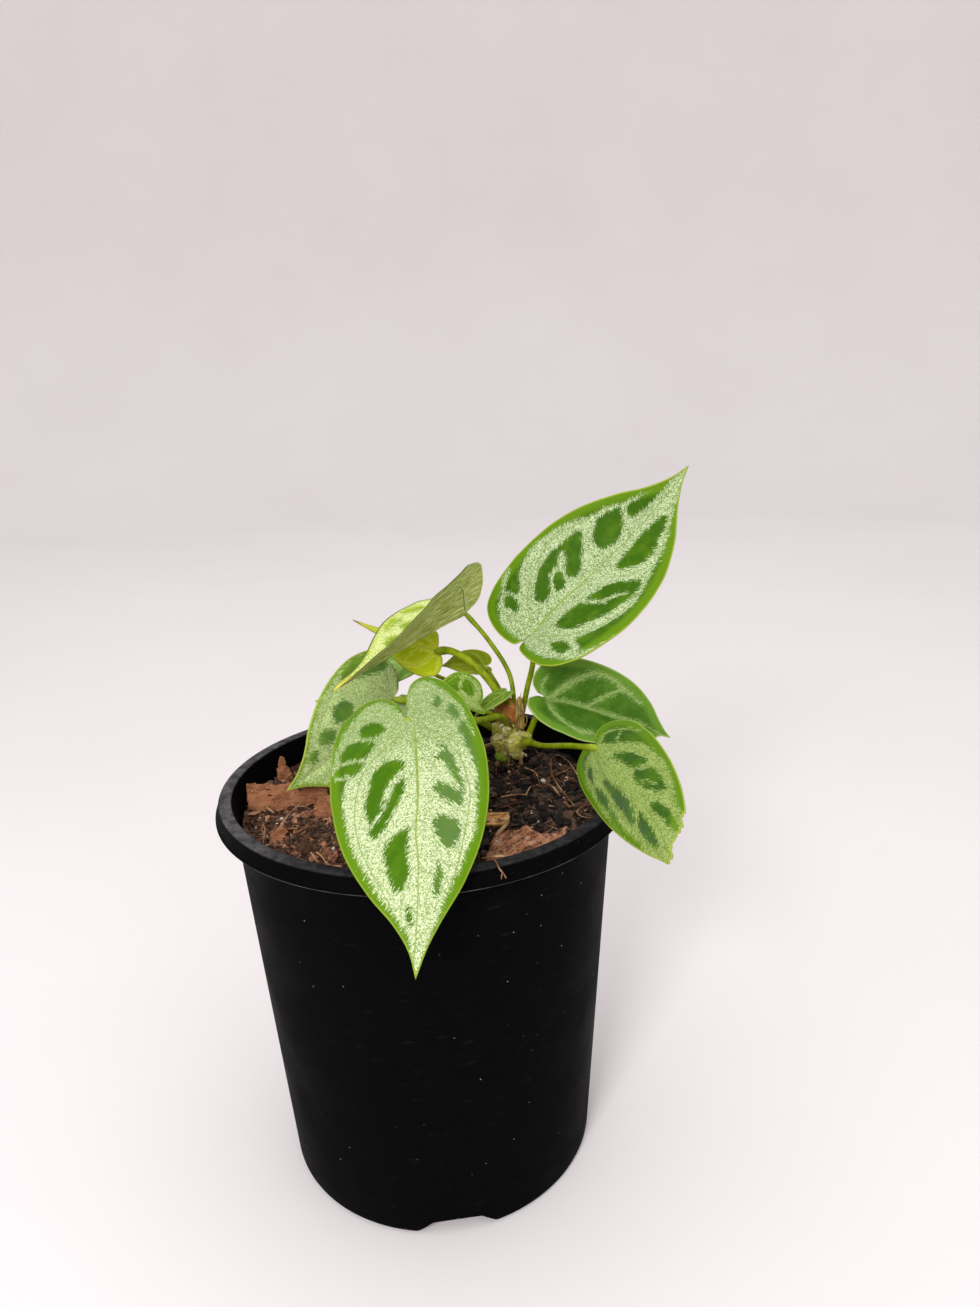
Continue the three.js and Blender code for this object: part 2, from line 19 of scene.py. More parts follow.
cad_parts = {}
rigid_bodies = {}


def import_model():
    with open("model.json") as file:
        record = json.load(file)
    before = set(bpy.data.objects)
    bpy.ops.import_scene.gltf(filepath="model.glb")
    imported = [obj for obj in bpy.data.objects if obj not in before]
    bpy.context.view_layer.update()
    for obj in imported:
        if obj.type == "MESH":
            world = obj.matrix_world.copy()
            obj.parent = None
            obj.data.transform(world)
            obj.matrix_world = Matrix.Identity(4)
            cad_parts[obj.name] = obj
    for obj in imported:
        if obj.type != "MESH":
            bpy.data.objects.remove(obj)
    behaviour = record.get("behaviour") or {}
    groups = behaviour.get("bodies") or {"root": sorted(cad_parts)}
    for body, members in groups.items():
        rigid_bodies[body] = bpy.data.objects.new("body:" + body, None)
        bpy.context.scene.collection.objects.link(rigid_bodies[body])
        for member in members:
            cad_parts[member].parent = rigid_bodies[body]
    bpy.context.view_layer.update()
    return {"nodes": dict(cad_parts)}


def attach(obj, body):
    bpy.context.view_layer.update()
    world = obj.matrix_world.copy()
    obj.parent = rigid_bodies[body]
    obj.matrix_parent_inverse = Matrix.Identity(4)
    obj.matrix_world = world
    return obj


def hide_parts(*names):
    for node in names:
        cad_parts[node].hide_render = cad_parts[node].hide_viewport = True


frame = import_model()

MM = 0.001

# %% [markdown]
# ## Camera
# The photograph was taken from just above the plant, a little tipped. The camera was found by
# fitting the pot's circles, so it is given by its place, its three angles and its focal length in
# pixels of a frame 980 wide and 1307 high. The matrix is built from its right, up and look axes,
# which is easier to check than three Euler angles.

# %% Camera at the photograph's viewing angle
FRAME_HEIGHT, FOCAL_PIXELS = 1307, 927
CAMERA_AT = Vector((20.8, -299.8, 275.9))
CAMERA_DOWN, CAMERA_LEFT, CAMERA_TIP = (math.radians(a) for a in (16.58, -0.72, -2.06))

look = Vector((-math.sin(CAMERA_LEFT) * math.cos(CAMERA_DOWN),
               math.cos(CAMERA_LEFT) * math.cos(CAMERA_DOWN),
               -math.sin(CAMERA_DOWN)))
level_right = Vector((math.cos(CAMERA_LEFT), math.sin(CAMERA_LEFT), 0))
level_up = level_right.cross(look)
camera_right = level_right * math.cos(CAMERA_TIP) + level_up * math.sin(CAMERA_TIP)
camera_up = level_up * math.cos(CAMERA_TIP) - level_right * math.sin(CAMERA_TIP)

lens = bpy.data.cameras.new("camera")
lens.sensor_width = 36
lens.lens = FOCAL_PIXELS / FRAME_HEIGHT * lens.sensor_width
lens.clip_start = 0.01
camera = bpy.data.objects.new("camera", lens)
bpy.context.scene.collection.objects.link(camera)
axes = Matrix((camera_right, camera_up, -look)).transposed().to_4x4()
camera.matrix_world = Matrix.Translation(CAMERA_AT * MM) @ axes
bpy.context.scene.camera = camera
bpy.context.scene.view_settings.view_transform = "Standard"
print("lens in mm:", round(lens.lens, 2))

# %% [markdown]
# ## Small helpers for shader nodes
# Every finish here is a node tree. A few short helpers keep each tree readable: one adds a node
# and joins its inputs, and the others make what nearly all finishes use, which is a noise of a
# given size in millimetres, a soft step, a sum, a mix of two colours and a bump.

# %% Helpers that add shader nodes
def tint(red, green, blue):
    """A screen colour, 0 to 255, as the linear light that shaders mix."""
    def linear(c):
        return c / 12.92 if c <= 0.04045 else ((c + 0.055) / 1.055) ** 2.4
    return (linear(red / 255), linear(green / 255), linear(blue / 255), 1.0)


def add(tree, kind, inputs=None, output=0, **settings):
    node = tree.nodes.new("ShaderNode" + kind)
    for name, value in settings.items():
        setattr(node, name, value)
    for name, value in (inputs or {}).items():
        if isinstance(value, bpy.types.NodeSocket):
            tree.links.new(value, node.inputs[name])
        else:
            node.inputs[name].default_value = value
    return node.outputs[output]


def grain(tree, place, size, detail=3.0, roughness=0.55, unit=MM, stretch=None):
    """Noise whose features are about size millimetres across."""
    if stretch:
        place = add(tree, "Mapping", {"Vector": place, "Scale": stretch})
    return add(tree, "TexNoise", {"Vector": place, "Scale": 1 / (size * unit),
                                  "Detail": detail, "Roughness": roughness})


def step(tree, value, low, high, to_low=0.0, to_high=1.0):
    """A soft step from to_low to to_high as value goes from low to high."""
    return add(tree, "MapRange", {"Value": value, "From Min": low, "From Max": high,
                                  "To Min": to_low, "To Max": to_high},
               interpolation_type="SMOOTHSTEP")


# %% Sums, mixes and layers
def math_of(tree, operation, first, second):
    return add(tree, "Math", {0: first, 1: second}, operation=operation)


def times(tree, first, second):
    return math_of(tree, "MULTIPLY", first, second)


def plus(tree, first, second):
    return math_of(tree, "ADD", first, second)


def mix(tree, share, first, second):
    """Mixes two colours, each a socket or a screen colour of three numbers."""
    first, second = (tint(*c) if isinstance(c, tuple) else c for c in (first, second))
    return add(tree, "Mix", {0: share, 6: first, 7: second}, output=2, data_type="RGBA")


def layer(tree, under, over, value, low, high, to_low=0.0, to_high=1.0):
    """Lays one colour over another where a value steps from low to high."""
    return mix(tree, step(tree, value, low, high, to_low, to_high), under, over)


def attribute(tree, name):
    return add(tree, "Attribute", output="Fac", attribute_name=name)


def axis_of(tree, place, axis):
    return add(tree, "SeparateXYZ", {"Vector": place}, output=axis)


# %% Starting and ending a finish
def new_finish(name, uv=None, **sockets):
    """A material, its tree, and the place that its patterns read: Object or a UV map."""
    material = bpy.data.materials.new(name)
    material.use_nodes = True
    tree = material.node_tree
    for socket, value in sockets.items():
        tree.nodes["Principled BSDF"].inputs[socket.replace("_", " ")].default_value = value
    place = add(tree, "UVMap", uv_map=uv) if uv else add(tree, "TexCoord", output="Object")
    return material, tree, place


def wear(tree, colour, roughness=None, height=None, depth=0.1):
    """Joins colour, roughness and a bump depth millimetres high to the shader."""
    sockets = tree.nodes["Principled BSDF"].inputs
    tree.links.new(colour, sockets["Base Color"])
    if roughness is not None:
        tree.links.new(roughness, sockets["Roughness"])
    if height is not None:
        normal = add(tree, "Bump", {"Height": height, "Distance": depth * MM})
        tree.links.new(normal, sockets["Normal"])


# %% [markdown]
# ## Helpers for pieces
# A finished piece sits at the origin with its place in its mesh, rides on the plant's one body
# and hides the CAD nodes that it stands for. One helper does all of that, so that no piece forgets it.
# Two more turn a profile into a shell of revolution and a row of modifiers into a final mesh.

# %% Helpers that place pieces
def put(name, data):
    """An object for a mesh, curve or lamp, linked to the scene."""
    holder = bpy.data.objects.new(name, data)
    bpy.context.scene.collection.objects.link(holder)
    return holder


def mesh_of(bm, name, smooth=True):
    mesh = bpy.data.meshes.new(name)
    bm.to_mesh(mesh)
    bm.free()
    if smooth:
        mesh.shade_smooth()
    return mesh


def place_piece(name, mesh, nodes=(), finishes=()):
    piece = put(name, mesh)
    for finish in finishes:
        mesh.materials.append(finish)
    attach(piece, "root")
    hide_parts(*nodes)
    return piece


def places_of(mesh):
    """The vertices of a mesh in millimetres."""
    flat = np.empty(len(mesh.vertices) * 3)
    mesh.vertices.foreach_get("co", flat)
    return flat.reshape(-1, 3) / MM


def set_places(mesh, places):
    mesh.vertices.foreach_set("co", (places * MM).ravel())
    mesh.update()


# %% Shells of revolution and modifiers
def spun(profile, steps, cuts=0):
    """A shell of revolution round +Z from (radius, height) places in metres."""
    bm = bmesh.new()
    line = [bm.verts.new((r, 0, z)) for r, z in profile]
    for a, b in zip(line, line[1:]):
        bm.edges.new((a, b))
    if cuts:
        tall = [e for e in bm.edges if e.calc_length() > 0.1]
        bmesh.ops.subdivide_edges(bm, edges=tall, cuts=cuts)
    bmesh.ops.spin(bm, geom=bm.verts[:] + bm.edges[:], cent=(0, 0, 0), axis=(0, 0, 1),
                   dvec=(0, 0, 0), angle=math.tau, steps=steps, use_merge=True)
    bmesh.ops.remove_doubles(bm, verts=bm.verts[:], dist=1e-7)
    bmesh.ops.recalc_face_normals(bm, faces=bm.faces[:])
    return bm


def applied(data, name, *modifiers):
    """The final mesh of a mesh or curve, after modifiers given as a type and its settings."""
    holder = put(name, data)
    for kind, settings in modifiers:
        modifier = holder.modifiers.new(kind.lower(), kind)
        for setting, value in settings.items():
            setattr(modifier, setting, value)
    made = bpy.data.meshes.new_from_object(holder.evaluated_get(bpy.context.evaluated_depsgraph_get()))
    made.name = name
    bpy.data.objects.remove(holder)
    return made


def paint(mesh, name, values):
    """Keeps one number for each vertex under a name that a finish reads."""
    kept = mesh.attributes.new(name, "FLOAT", "POINT")
    kept.data.foreach_set("value", np.asarray(values, np.float32))


# %% [markdown]
# ## Floor and studio light
# A pale bowl-shaped sweep lies under the plant and curves up all round it without an edge, so it
# looks the same from every side. It is spun from one short line. The light follows the photograph,
# where it comes mostly from near the camera, a little to its left.

# %% Floor sweep
SWEEP_FLOOR, SWEEP_CURVE, SWEEP_TOP = 1.7, 0.7, 1.4
corner = [(SWEEP_FLOOR + SWEEP_CURVE * math.sin(a), SWEEP_CURVE * (1 - math.cos(a)))
          for a in np.linspace(0, math.pi / 2, 17)]
sweep_bm = spun([(0, 0)] + corner + [(corner[-1][0], SWEEP_TOP)], 96)
sweep = put("floor_sweep", mesh_of(sweep_bm, "floor_sweep"))

paper, tree, paper_place = new_finish("pale_paper", Roughness=0.9)
wear(tree, mix(tree, grain(tree, paper_place, 260, 2), (226, 220, 221), (233, 228, 229)))
sweep.data.materials.append(paper)

# %% Lights
LEAF_CENTRE = Vector((0.01, 0.0, 0.165))
for name, at, size, power in (("key_light", (-0.26, -0.80, 0.66), 0.26, 6.5),
                              ("fill_light", (1.0, -0.7, 0.9), 1.4, 2.5),
                              ("top_light", (-0.2, 0.5, 1.7), 1.6, 3.0)):
    lamp = bpy.data.lights.new(name, "AREA")
    lamp.size, lamp.energy = size, power
    holder = put(name, lamp)
    holder.location = at
    holder.rotation_euler = (LEAF_CENTRE - Vector(at)).to_track_quat("-Z", "Y").to_euler()

surround = bpy.data.worlds.new("soft_surround")
surround.use_nodes = True
surround.node_tree.nodes["Background"].inputs["Color"].default_value = (1.0, 0.985, 0.985, 1)
surround.node_tree.nodes["Background"].inputs["Strength"].default_value = 0.95
bpy.context.scene.world = surround

# %% [markdown]
# ## The pot
# A blow-moulded nursery pot is a thin tapered shell with a flat rim and a short skirt. A shell of
# revolution is best spun from its profile, because every radius in it can be read off the CAD.
# The profile gets what the CAD leaves out: a rounded inner lip and the ledge of the parting line
# at the skirt's lower edge. The four drain notches are then cut out of the foot.

# %% Pot profile and spin
POT_HEIGHT, RIM_RADIUS, RIM_ROUND = 143.4, 70.0, 1.2
SKIRT_RADIUS, SKIRT_BOTTOM, SKIRT_THICK = 71.2, 137.9, 1.3
MOUTH_RADIUS, NECK_RADIUS, FOOT_RADIUS = 65.6, 65.3, 56.2
FOOT_CORNER, POT_THICK, POT_FLOOR, FLANGE = 2.6, 1.3, 2.0, 1.6


def arc(centre_r, centre_z, radius, start, stop, count):
    return [(centre_r + radius * math.cos(math.radians(a)), centre_z + radius * math.sin(math.radians(a)))
            for a in np.linspace(start, stop, count)]


LEDGE_HEIGHT, LEDGE_OUT = 0.9, 0.25
pot_profile = [(0, 0)]
pot_profile += arc(FOOT_RADIUS - FOOT_CORNER, FOOT_CORNER, FOOT_CORNER, -90, 0, 7)
pot_profile += [
    (NECK_RADIUS, SKIRT_BOTTOM),
    (NECK_RADIUS + POT_THICK, POT_HEIGHT - FLANGE),
    (RIM_RADIUS - SKIRT_THICK, POT_HEIGHT - FLANGE),
    (SKIRT_RADIUS - SKIRT_THICK, SKIRT_BOTTOM),
    (SKIRT_RADIUS - 0.15, SKIRT_BOTTOM),
    (SKIRT_RADIUS, SKIRT_BOTTOM + 0.15),
    (SKIRT_RADIUS - 0.04, SKIRT_BOTTOM + LEDGE_HEIGHT - 0.1),
    (SKIRT_RADIUS - LEDGE_OUT, SKIRT_BOTTOM + LEDGE_HEIGHT),
]
pot_profile += arc(RIM_RADIUS - RIM_ROUND, POT_HEIGHT - RIM_ROUND, RIM_ROUND, 0, 90, 7)
pot_profile += arc(MOUTH_RADIUS + 0.5, POT_HEIGHT - 0.5, 0.5, 90, 180, 4)
pot_profile += [
    (NECK_RADIUS - POT_THICK, SKIRT_BOTTOM),
    (FOOT_RADIUS - POT_THICK - 0.6, POT_FLOOR + 1.4),
    (FOOT_RADIUS - POT_THICK - 2.2, POT_FLOOR),
    (0, POT_FLOOR),
]
pot_bm = spun([(r * MM, z * MM) for r, z in pot_profile], 160, cuts=10)
print("pot faces:", len(pot_bm.faces))

# %% [markdown]
# The notches are low arches through the foot. A Boolean is the plain way to cut them; it is
# applied at once, so that the kept mesh is final.

# %% Drain notches
DRAIN_COUNT, DRAIN_TURN = 4, -83.6
DRAIN_WIDTH, DRAIN_TOP_WIDTH, DRAIN_HEIGHT, DRAIN_REACH = 29.0, 13.0, 6.4, 9.0
arch = [(-DRAIN_WIDTH / 2, -1), (-DRAIN_WIDTH / 2, 0.6), (-DRAIN_TOP_WIDTH / 2 - 2, DRAIN_HEIGHT - 1),
        (-DRAIN_TOP_WIDTH / 2, DRAIN_HEIGHT), (DRAIN_TOP_WIDTH / 2, DRAIN_HEIGHT),
        (DRAIN_TOP_WIDTH / 2 + 2, DRAIN_HEIGHT - 1), (DRAIN_WIDTH / 2, 0.6), (DRAIN_WIDTH / 2, -1)]
notch_bm = bmesh.new()
for i in range(DRAIN_COUNT):
    face = notch_bm.faces.new([notch_bm.verts.new((0, y * MM, z * MM)) for y, z in arch])
    pushed = bmesh.ops.extrude_face_region(notch_bm, geom=[face])["geom"]
    moved = [v for v in pushed if isinstance(v, bmesh.types.BMVert)]
    bmesh.ops.translate(notch_bm, verts=moved, vec=(DRAIN_REACH * MM, 0, 0))
    whole = moved + list(face.verts)
    bmesh.ops.translate(notch_bm, verts=whole, vec=((FOOT_RADIUS - DRAIN_REACH / 2 - 1) * MM, 0, 0))
    turn = Matrix.Rotation(math.radians(DRAIN_TURN + 360 / DRAIN_COUNT * i), 3, "Z")
    bmesh.ops.rotate(notch_bm, verts=whole, cent=(0, 0, 0), matrix=turn)
bmesh.ops.recalc_face_normals(notch_bm, faces=notch_bm.faces[:])
cutter = put("notch_cutter", mesh_of(notch_bm, "notch_cutter", smooth=False))
pot_mesh = applied(mesh_of(pot_bm, "pot_shell", smooth=False), "nursery_pot",
                   ("BOOLEAN", {"operation": "DIFFERENCE", "object": cutter, "solver": "EXACT"}))
bpy.data.objects.remove(cutter)
pot_mesh.shade_smooth()
pot_mesh.set_sharp_from_angle(angle=math.radians(32))
print("pot faces with notches:", len(pot_mesh.polygons))

# %% [markdown]
# Black polypropylene is dull with a low gloss. Three small things mark it: faint scuffs
# that run round or down the side, white specks of dust, and a lighter grey on the rim's top, more
# on its left side, and along the parting line. Each is one noise with a high threshold, so that
# most of the side stays black.

# %% Pot finish
black_plastic, tree, pot_place = new_finish("black_plastic", Specular_IOR_Level=0.012)
clouds = grain(tree, pot_place, 22, 3)
base = mix(tree, clouds, (3, 3, 4), (8, 8, 9))
scuffs = step(tree, grain(tree, pot_place, 9, 4, 0.6, stretch=(1, 1, 9)), 0.62, 0.74)
base = mix(tree, times(tree, scuffs, 0.25), base, (46, 46, 48))
dust_cell = add(tree, "TexVoronoi", {"Vector": pot_place, "Scale": 1 / (5.0 * MM)}, output="Distance")
dust_many = step(tree, grain(tree, pot_place, 14, 2), 0.42, 0.56)
dust = times(tree, step(tree, dust_cell, 0.06, 0.03), dust_many)
base = mix(tree, times(tree, dust, 0.7), base, (165, 160, 152))
height_mm = times(tree, axis_of(tree, pot_place, "Z"), 1 / MM)
level_place = add(tree, "VectorMath", {0: pot_place, 1: (1, 1, 0)}, operation="MULTIPLY")
radius_mm = times(tree, add(tree, "VectorMath", {0: level_place}, output="Value", operation="LENGTH"), 1 / MM)
# The rim's top is lighter grey, more so on its left side.
rim_top = step(tree, height_mm, POT_HEIGHT - 0.7, POT_HEIGHT - 0.1)
rim_grey = times(tree, rim_top, step(tree, grain(tree, pot_place, 3, 4), 0.3, 0.75, 0.35, 1.0))
across_mm = times(tree, axis_of(tree, pot_place, "X"), 1 / MM)
more_on_left = step(tree, across_mm, -25, -62, 0.3, 1.0)
base = mix(tree, times(tree, rim_grey, more_on_left), base, (92, 90, 92))
# A thin lighter grey line lies along the ledge of the parting line.
part_line = times(tree, step(tree, height_mm, SKIRT_BOTTOM + 0.35, SKIRT_BOTTOM + 0.05),
                  step(tree, height_mm, SKIRT_BOTTOM - 0.3, SKIRT_BOTTOM))
part_line = times(tree, part_line, step(tree, radius_mm, SKIRT_RADIUS - 0.6, SKIRT_RADIUS - 0.3))
line_grey = times(tree, part_line, step(tree, grain(tree, pot_place, 7, 3), 0.35, 0.6, 0.35, 1.0))
base = mix(tree, line_grey, base, (112, 112, 108))
gloss = step(tree, clouds, 0.3, 0.7, 0.5, 0.64)
wear(tree, base, plus(tree, gloss, times(tree, rim_top, 0.1)),
     plus(tree, grain(tree, pot_place, 1.2, 3), times(tree, clouds, 3.0)), 0.05)
place_piece("nursery_pot", pot_mesh, ["pot"], [black_plastic])

# %% [markdown]
# ## The mix
# The mix is coarse: black composted bark with reddish chips, fibres and a few white specks. Its
# body is one dense disc that swells as the CAD says, roughened with noise, and closed down to the
# pot's floor. The coarse look then comes from real crumbs lying on it, because only separate
# pieces throw the small shadows that make soil look loose.

# %% Body of the mix
SOIL_LEVEL, SOIL_RADIUS = 134.2, 63.0
LUMP_SIZE, GRIT_SIZE = 4.6, 1.7
SOIL_SIDE = ((20, 62.4), (SOIL_LEVEL - POT_FLOOR - 2, 54.0))  # depth under the top, and radius there


def soil_height(x, y):
    swell = np.sin(x / 21 + 0.7) * np.cos(y / 17 - 0.5)
    ripple = np.sin(x / 6.3 + y / 8.1) * np.cos(y / 5.7 - x / 9.4)
    return SOIL_LEVEL + 1.1 * swell + 0.5 * ripple


def rough(place, size, seed, octaves=4):
    """Fractal noise at a place in mm, about -1 to 1, with features of size mm."""
    return noise.fractal(Vector(place) / size + Vector((seed, seed * 1.7, seed * 0.3)), 0.8, 2.1, octaves)


soil_bm = bmesh.new()
bmesh.ops.create_grid(soil_bm, x_segments=210, y_segments=210, size=1)
for v in soil_bm.verts:
    x = v.co.x * math.sqrt(1 - v.co.y ** 2 / 2) * SOIL_RADIUS
    y = v.co.y * math.sqrt(1 - v.co.x ** 2 / 2) * SOIL_RADIUS
    inside = min(1.0, (SOIL_RADIUS - math.hypot(x, y)) / 3)
    lumps = rough((x, y, 0), LUMP_SIZE, 3) + 0.9 * rough((x, y, 0), GRIT_SIZE, 9)
    v.co = Vector((x, y, soil_height(x, y) + inside * lumps - 0.5)) * MM
for depth, radius in SOIL_SIDE:
    edge = [e for e in soil_bm.edges if e.is_boundary]
    moved = [v for v in bmesh.ops.extrude_edge_only(soil_bm, edges=edge)["geom"]
             if isinstance(v, bmesh.types.BMVert)]
    for v in moved:
        out = Vector((v.co.x, v.co.y, 0)).normalized() * radius * MM
        v.co = Vector((out.x, out.y, (SOIL_LEVEL - depth) * MM))
bmesh.ops.holes_fill(soil_bm, edges=[e for e in soil_bm.edges if e.is_boundary], sides=0)
bmesh.ops.recalc_face_normals(soil_bm, faces=soil_bm.faces[:])
soil_mesh = mesh_of(soil_bm, "mix_body")

# %% Finish of the mix
dark_mix, tree, soil_place = new_finish("dark_mix", Roughness=0.95, Specular_IOR_Level=0.2)
coarse = grain(tree, soil_place, 2.4, 4, 0.65)
fine = grain(tree, soil_place, 0.7, 3, 0.7)
soil_across = axis_of(tree, soil_place, "X")
earth = layer(tree, (12, 9, 8), (88, 68, 55), coarse, 0.38, 0.62)
dusty = layer(tree, (58, 38, 28), (112, 76, 56), coarse, 0.35, 0.65)
earth = layer(tree, earth, dusty, soil_across, -6 * MM, -16 * MM)
earth = layer(tree, earth, (150, 118, 94), fine, 0.6, 0.72, 0.0, 0.8)
wear(tree, earth, None, plus(tree, coarse, fine), 0.8)
place_piece("mix_body", soil_mesh, ["potting_soil"], [dark_mix])

# %% [markdown]
# Crumbs are drawn from fifteen small template shapes: grains, flakes and splinters, each a
# jittered icosphere of few faces squeezed to its kind. One seeded generator places them all, and each
# crumb keeps a random tone, which its finish turns into black, brown, red or tan.

# %% Crumbs on the mix
draw = random.Random(41)
CRUMB_KINDS = {"grain": (1.0, 0.8, 0.7), "flake": (1.5, 1.0, 0.28), "splinter": (2.8, 0.45, 0.4)}


def crumb_templates(count, jitter):
    templates = {}
    for kind, squeeze in CRUMB_KINDS.items():
        templates[kind] = []
        for _ in range(count):
            bm = bmesh.new()
            bmesh.ops.create_icosphere(bm, subdivisions=1, radius=1)
            for v in bm.verts:
                v.co *= 1 + draw.uniform(-jitter, jitter)
            bmesh.ops.scale(bm, vec=squeeze, verts=bm.verts[:])
            templates[kind].append(mesh_of(bm, "crumb_" + kind, smooth=False))
    return templates


def scatter(spots, templates):
    """Joins crumbs at (x, y, z, size, tone, kind, lean) into one mesh."""
    bm = bmesh.new()
    tone_layer = bm.verts.layers.float.new("tone")
    for x, y, z, size, tone, kind, lean in spots:
        start = len(bm.verts)
        bm.from_mesh(draw.choice(templates[kind]))
        bm.verts.ensure_lookup_table()
        turn = Matrix.Rotation(draw.uniform(0, math.tau), 4, "Z") @ Matrix.Rotation(lean, 4, "Y")
        turn = turn @ Matrix.Rotation(draw.uniform(-0.5, 0.5), 4, "X")
        place = Matrix.Translation(Vector((x, y, z)) * MM) @ turn @ Matrix.Scale(size * MM, 4)
        fresh = bm.verts[start:]
        bmesh.ops.transform(bm, matrix=place, verts=fresh)
        for v in fresh:
            v[tone_layer] = tone
    return bm


# %% Strewing the crumbs
templates = crumb_templates(5, 0.32)
CRUMB_COUNT = 3400
CRUMB_REACH = SOIL_RADIUS - 0.8
LARGE_CRUMB = 0.75  # crumbs over this size are darker
DUSTY_SIDE = -8  # left of this the mix is reddish and finer
spots = []
for _ in range(CRUMB_COUNT):
    angle = draw.uniform(0, math.tau)
    away = CRUMB_REACH * math.sqrt(draw.uniform(0, 1))
    x, y = away * math.cos(angle), away * math.sin(angle)
    size = 0.45 + (0.9 if x < DUSTY_SIDE else 2.1) * draw.random() ** 3.4
    kind = draw.choice(("grain", "grain", "flake", "splinter"))
    lean = draw.uniform(-0.5, 0.5)
    z = soil_height(x, y) + 0.4 * rough((x, y, 0), 5.5, 3) - 0.2 + 0.25 * size
    tone = draw.random() ** 1.7
    if size > LARGE_CRUMB:
        tone *= 0.36
    if x < DUSTY_SIDE:
        tone = min(1.0, 0.8 * tone + 0.2)
    spots.append((x, y, z, size, tone, kind, lean))
crumb_bm = scatter(spots, templates)
print("crumbs:", CRUMB_COUNT, "faces:", len(crumb_bm.faces))

# %% Finish of the crumbs
crumb_finish, tree, crumb_place = new_finish("loose_bark_crumbs", Roughness=0.9, Specular_IOR_Level=0.25)
tone = attribute(tree, "tone")
speckle = grain(tree, crumb_place, 0.5, 3, 0.7)
shade = plus(tree, tone, times(tree, math_of(tree, "SUBTRACT", speckle, 0.5), 0.95))
bits = layer(tree, (16, 12, 10), (94, 70, 56), shade, 0.1, 0.42)
bits = layer(tree, bits, (138, 98, 74), shade, 0.48, 0.74)
bits = layer(tree, bits, (206, 176, 150), shade, 0.8, 0.94)
wear(tree, bits, None, speckle, 0.25)
place_piece("loose_crumbs", mesh_of(crumb_bm, "loose_crumbs", smooth=False), [], [crumb_finish])

# %% [markdown]
# A few white grains of perlite catch the light in the photograph, so they are a piece of their own
# with a chalky finish.

# %% Perlite grains
PERLITE = [(42, 5.7, 2.2, 1.15), (-47.1, -17.4, 3.2, 0.7), (24.1, -41.4, 4.6, 0.9),
           (31.5, -29.4, 1.0, 0.55), (-27.2, -37.6, 1.2, 0.7), (33, -27, 1, 0.4), (36.4, -16.5, 1, 0.45),
           (8, 42, 1, 0.8), (-22, 30, 1, 0.6)]
perlite_spots = [(x, y, soil_height(x, y) + lift, size, 1.0, "grain", 0.2) for x, y, lift, size in PERLITE]
chalk, tree, chalk_place = new_finish("chalky_perlite", Roughness=0.85)
chalk_grain = grain(tree, chalk_place, 0.4, 3)
wear(tree, mix(tree, chalk_grain, (134, 126, 116), (226, 220, 212)), None, chalk_grain, 0.2)
perlite_mesh = mesh_of(scatter(perlite_spots, templates), "perlite_grains", smooth=False)
place_piece("perlite_grains", perlite_mesh, [], [chalk])

# %% [markdown]
# ## Tubes along a line
# Stalks, roots, twigs and veins are all round in section and follow a smooth line. A Blender curve
# with a round bevel is the quickest such tube: each point carries its own radius, the ends are
# capped, and the curve is turned into a mesh once, since a mesh is what gets joined and painted.
# The smooth line through a few points is the same centripetal spline that the CAD uses.

# %% Smooth lines and tubes
def through(points, steps):
    """A centripetal spline through the points, with its share of the way for each new point."""
    p = np.array(points, float)
    p = np.vstack([2 * p[0] - p[1], p, 2 * p[-1] - p[-2]])
    line, ways = [], []
    for i in range(1, len(p) - 2):
        d0, d1, d2 = (max(1e-4, np.linalg.norm(p[k + 1] - p[k]) ** 0.5) for k in (i - 1, i, i + 1))
        m1 = ((p[i] - p[i - 1]) / d0 - (p[i + 1] - p[i - 1]) / (d0 + d1) + (p[i + 1] - p[i]) / d1) * d1
        m2 = ((p[i + 1] - p[i]) / d1 - (p[i + 2] - p[i]) / (d1 + d2) + (p[i + 2] - p[i + 1]) / d2) * d1
        for k in range(steps):
            t = k / steps
            line.append(p[i] * (2 * t ** 3 - 3 * t ** 2 + 1) + m1 * (t ** 3 - 2 * t ** 2 + t)
                        + p[i + 1] * (3 * t ** 2 - 2 * t ** 3) + m2 * (t ** 3 - t ** 2))
            ways.append((i - 1 + t) / (len(p) - 3))
    line.append(p[-2])
    ways.append(1.0)
    return np.array(line), np.array(ways)


# %% Tubes and strands
def tubes(name, lines, sides=1):
    """One mesh of round tubes. Each line is its points and their radii, in mm."""
    curve = bpy.data.curves.new(name, "CURVE")
    curve.dimensions = "3D"
    curve.bevel_depth = MM
    curve.bevel_resolution = sides
    curve.use_fill_caps = True
    for points, radii in lines:
        spline = curve.splines.new("POLY")
        spline.points.add(len(points) - 1)
        for knot, place, radius in zip(spline.points, points, radii):
            knot.co = (*(np.asarray(place) * MM), 1)
            knot.radius = radius
    made = applied(curve, name)
    made.shade_smooth()
    return made


def strand(points, steps, radius, thick=1.0, thinning=0.5):
    """A smooth root or twig for tubes, which thins towards its end."""
    way, shares = through(points, steps)
    return way, radius * (thick - thinning * shares)


# %% [markdown]
# ## Roots, twigs and fibres on the mix
# These are the thin bright lines in the photograph: a looped root, a forked grey twig, splinters of
# orange bark, and short fibres everywhere. The named ones keep their places; the rest are drawn at
# random, low and short.

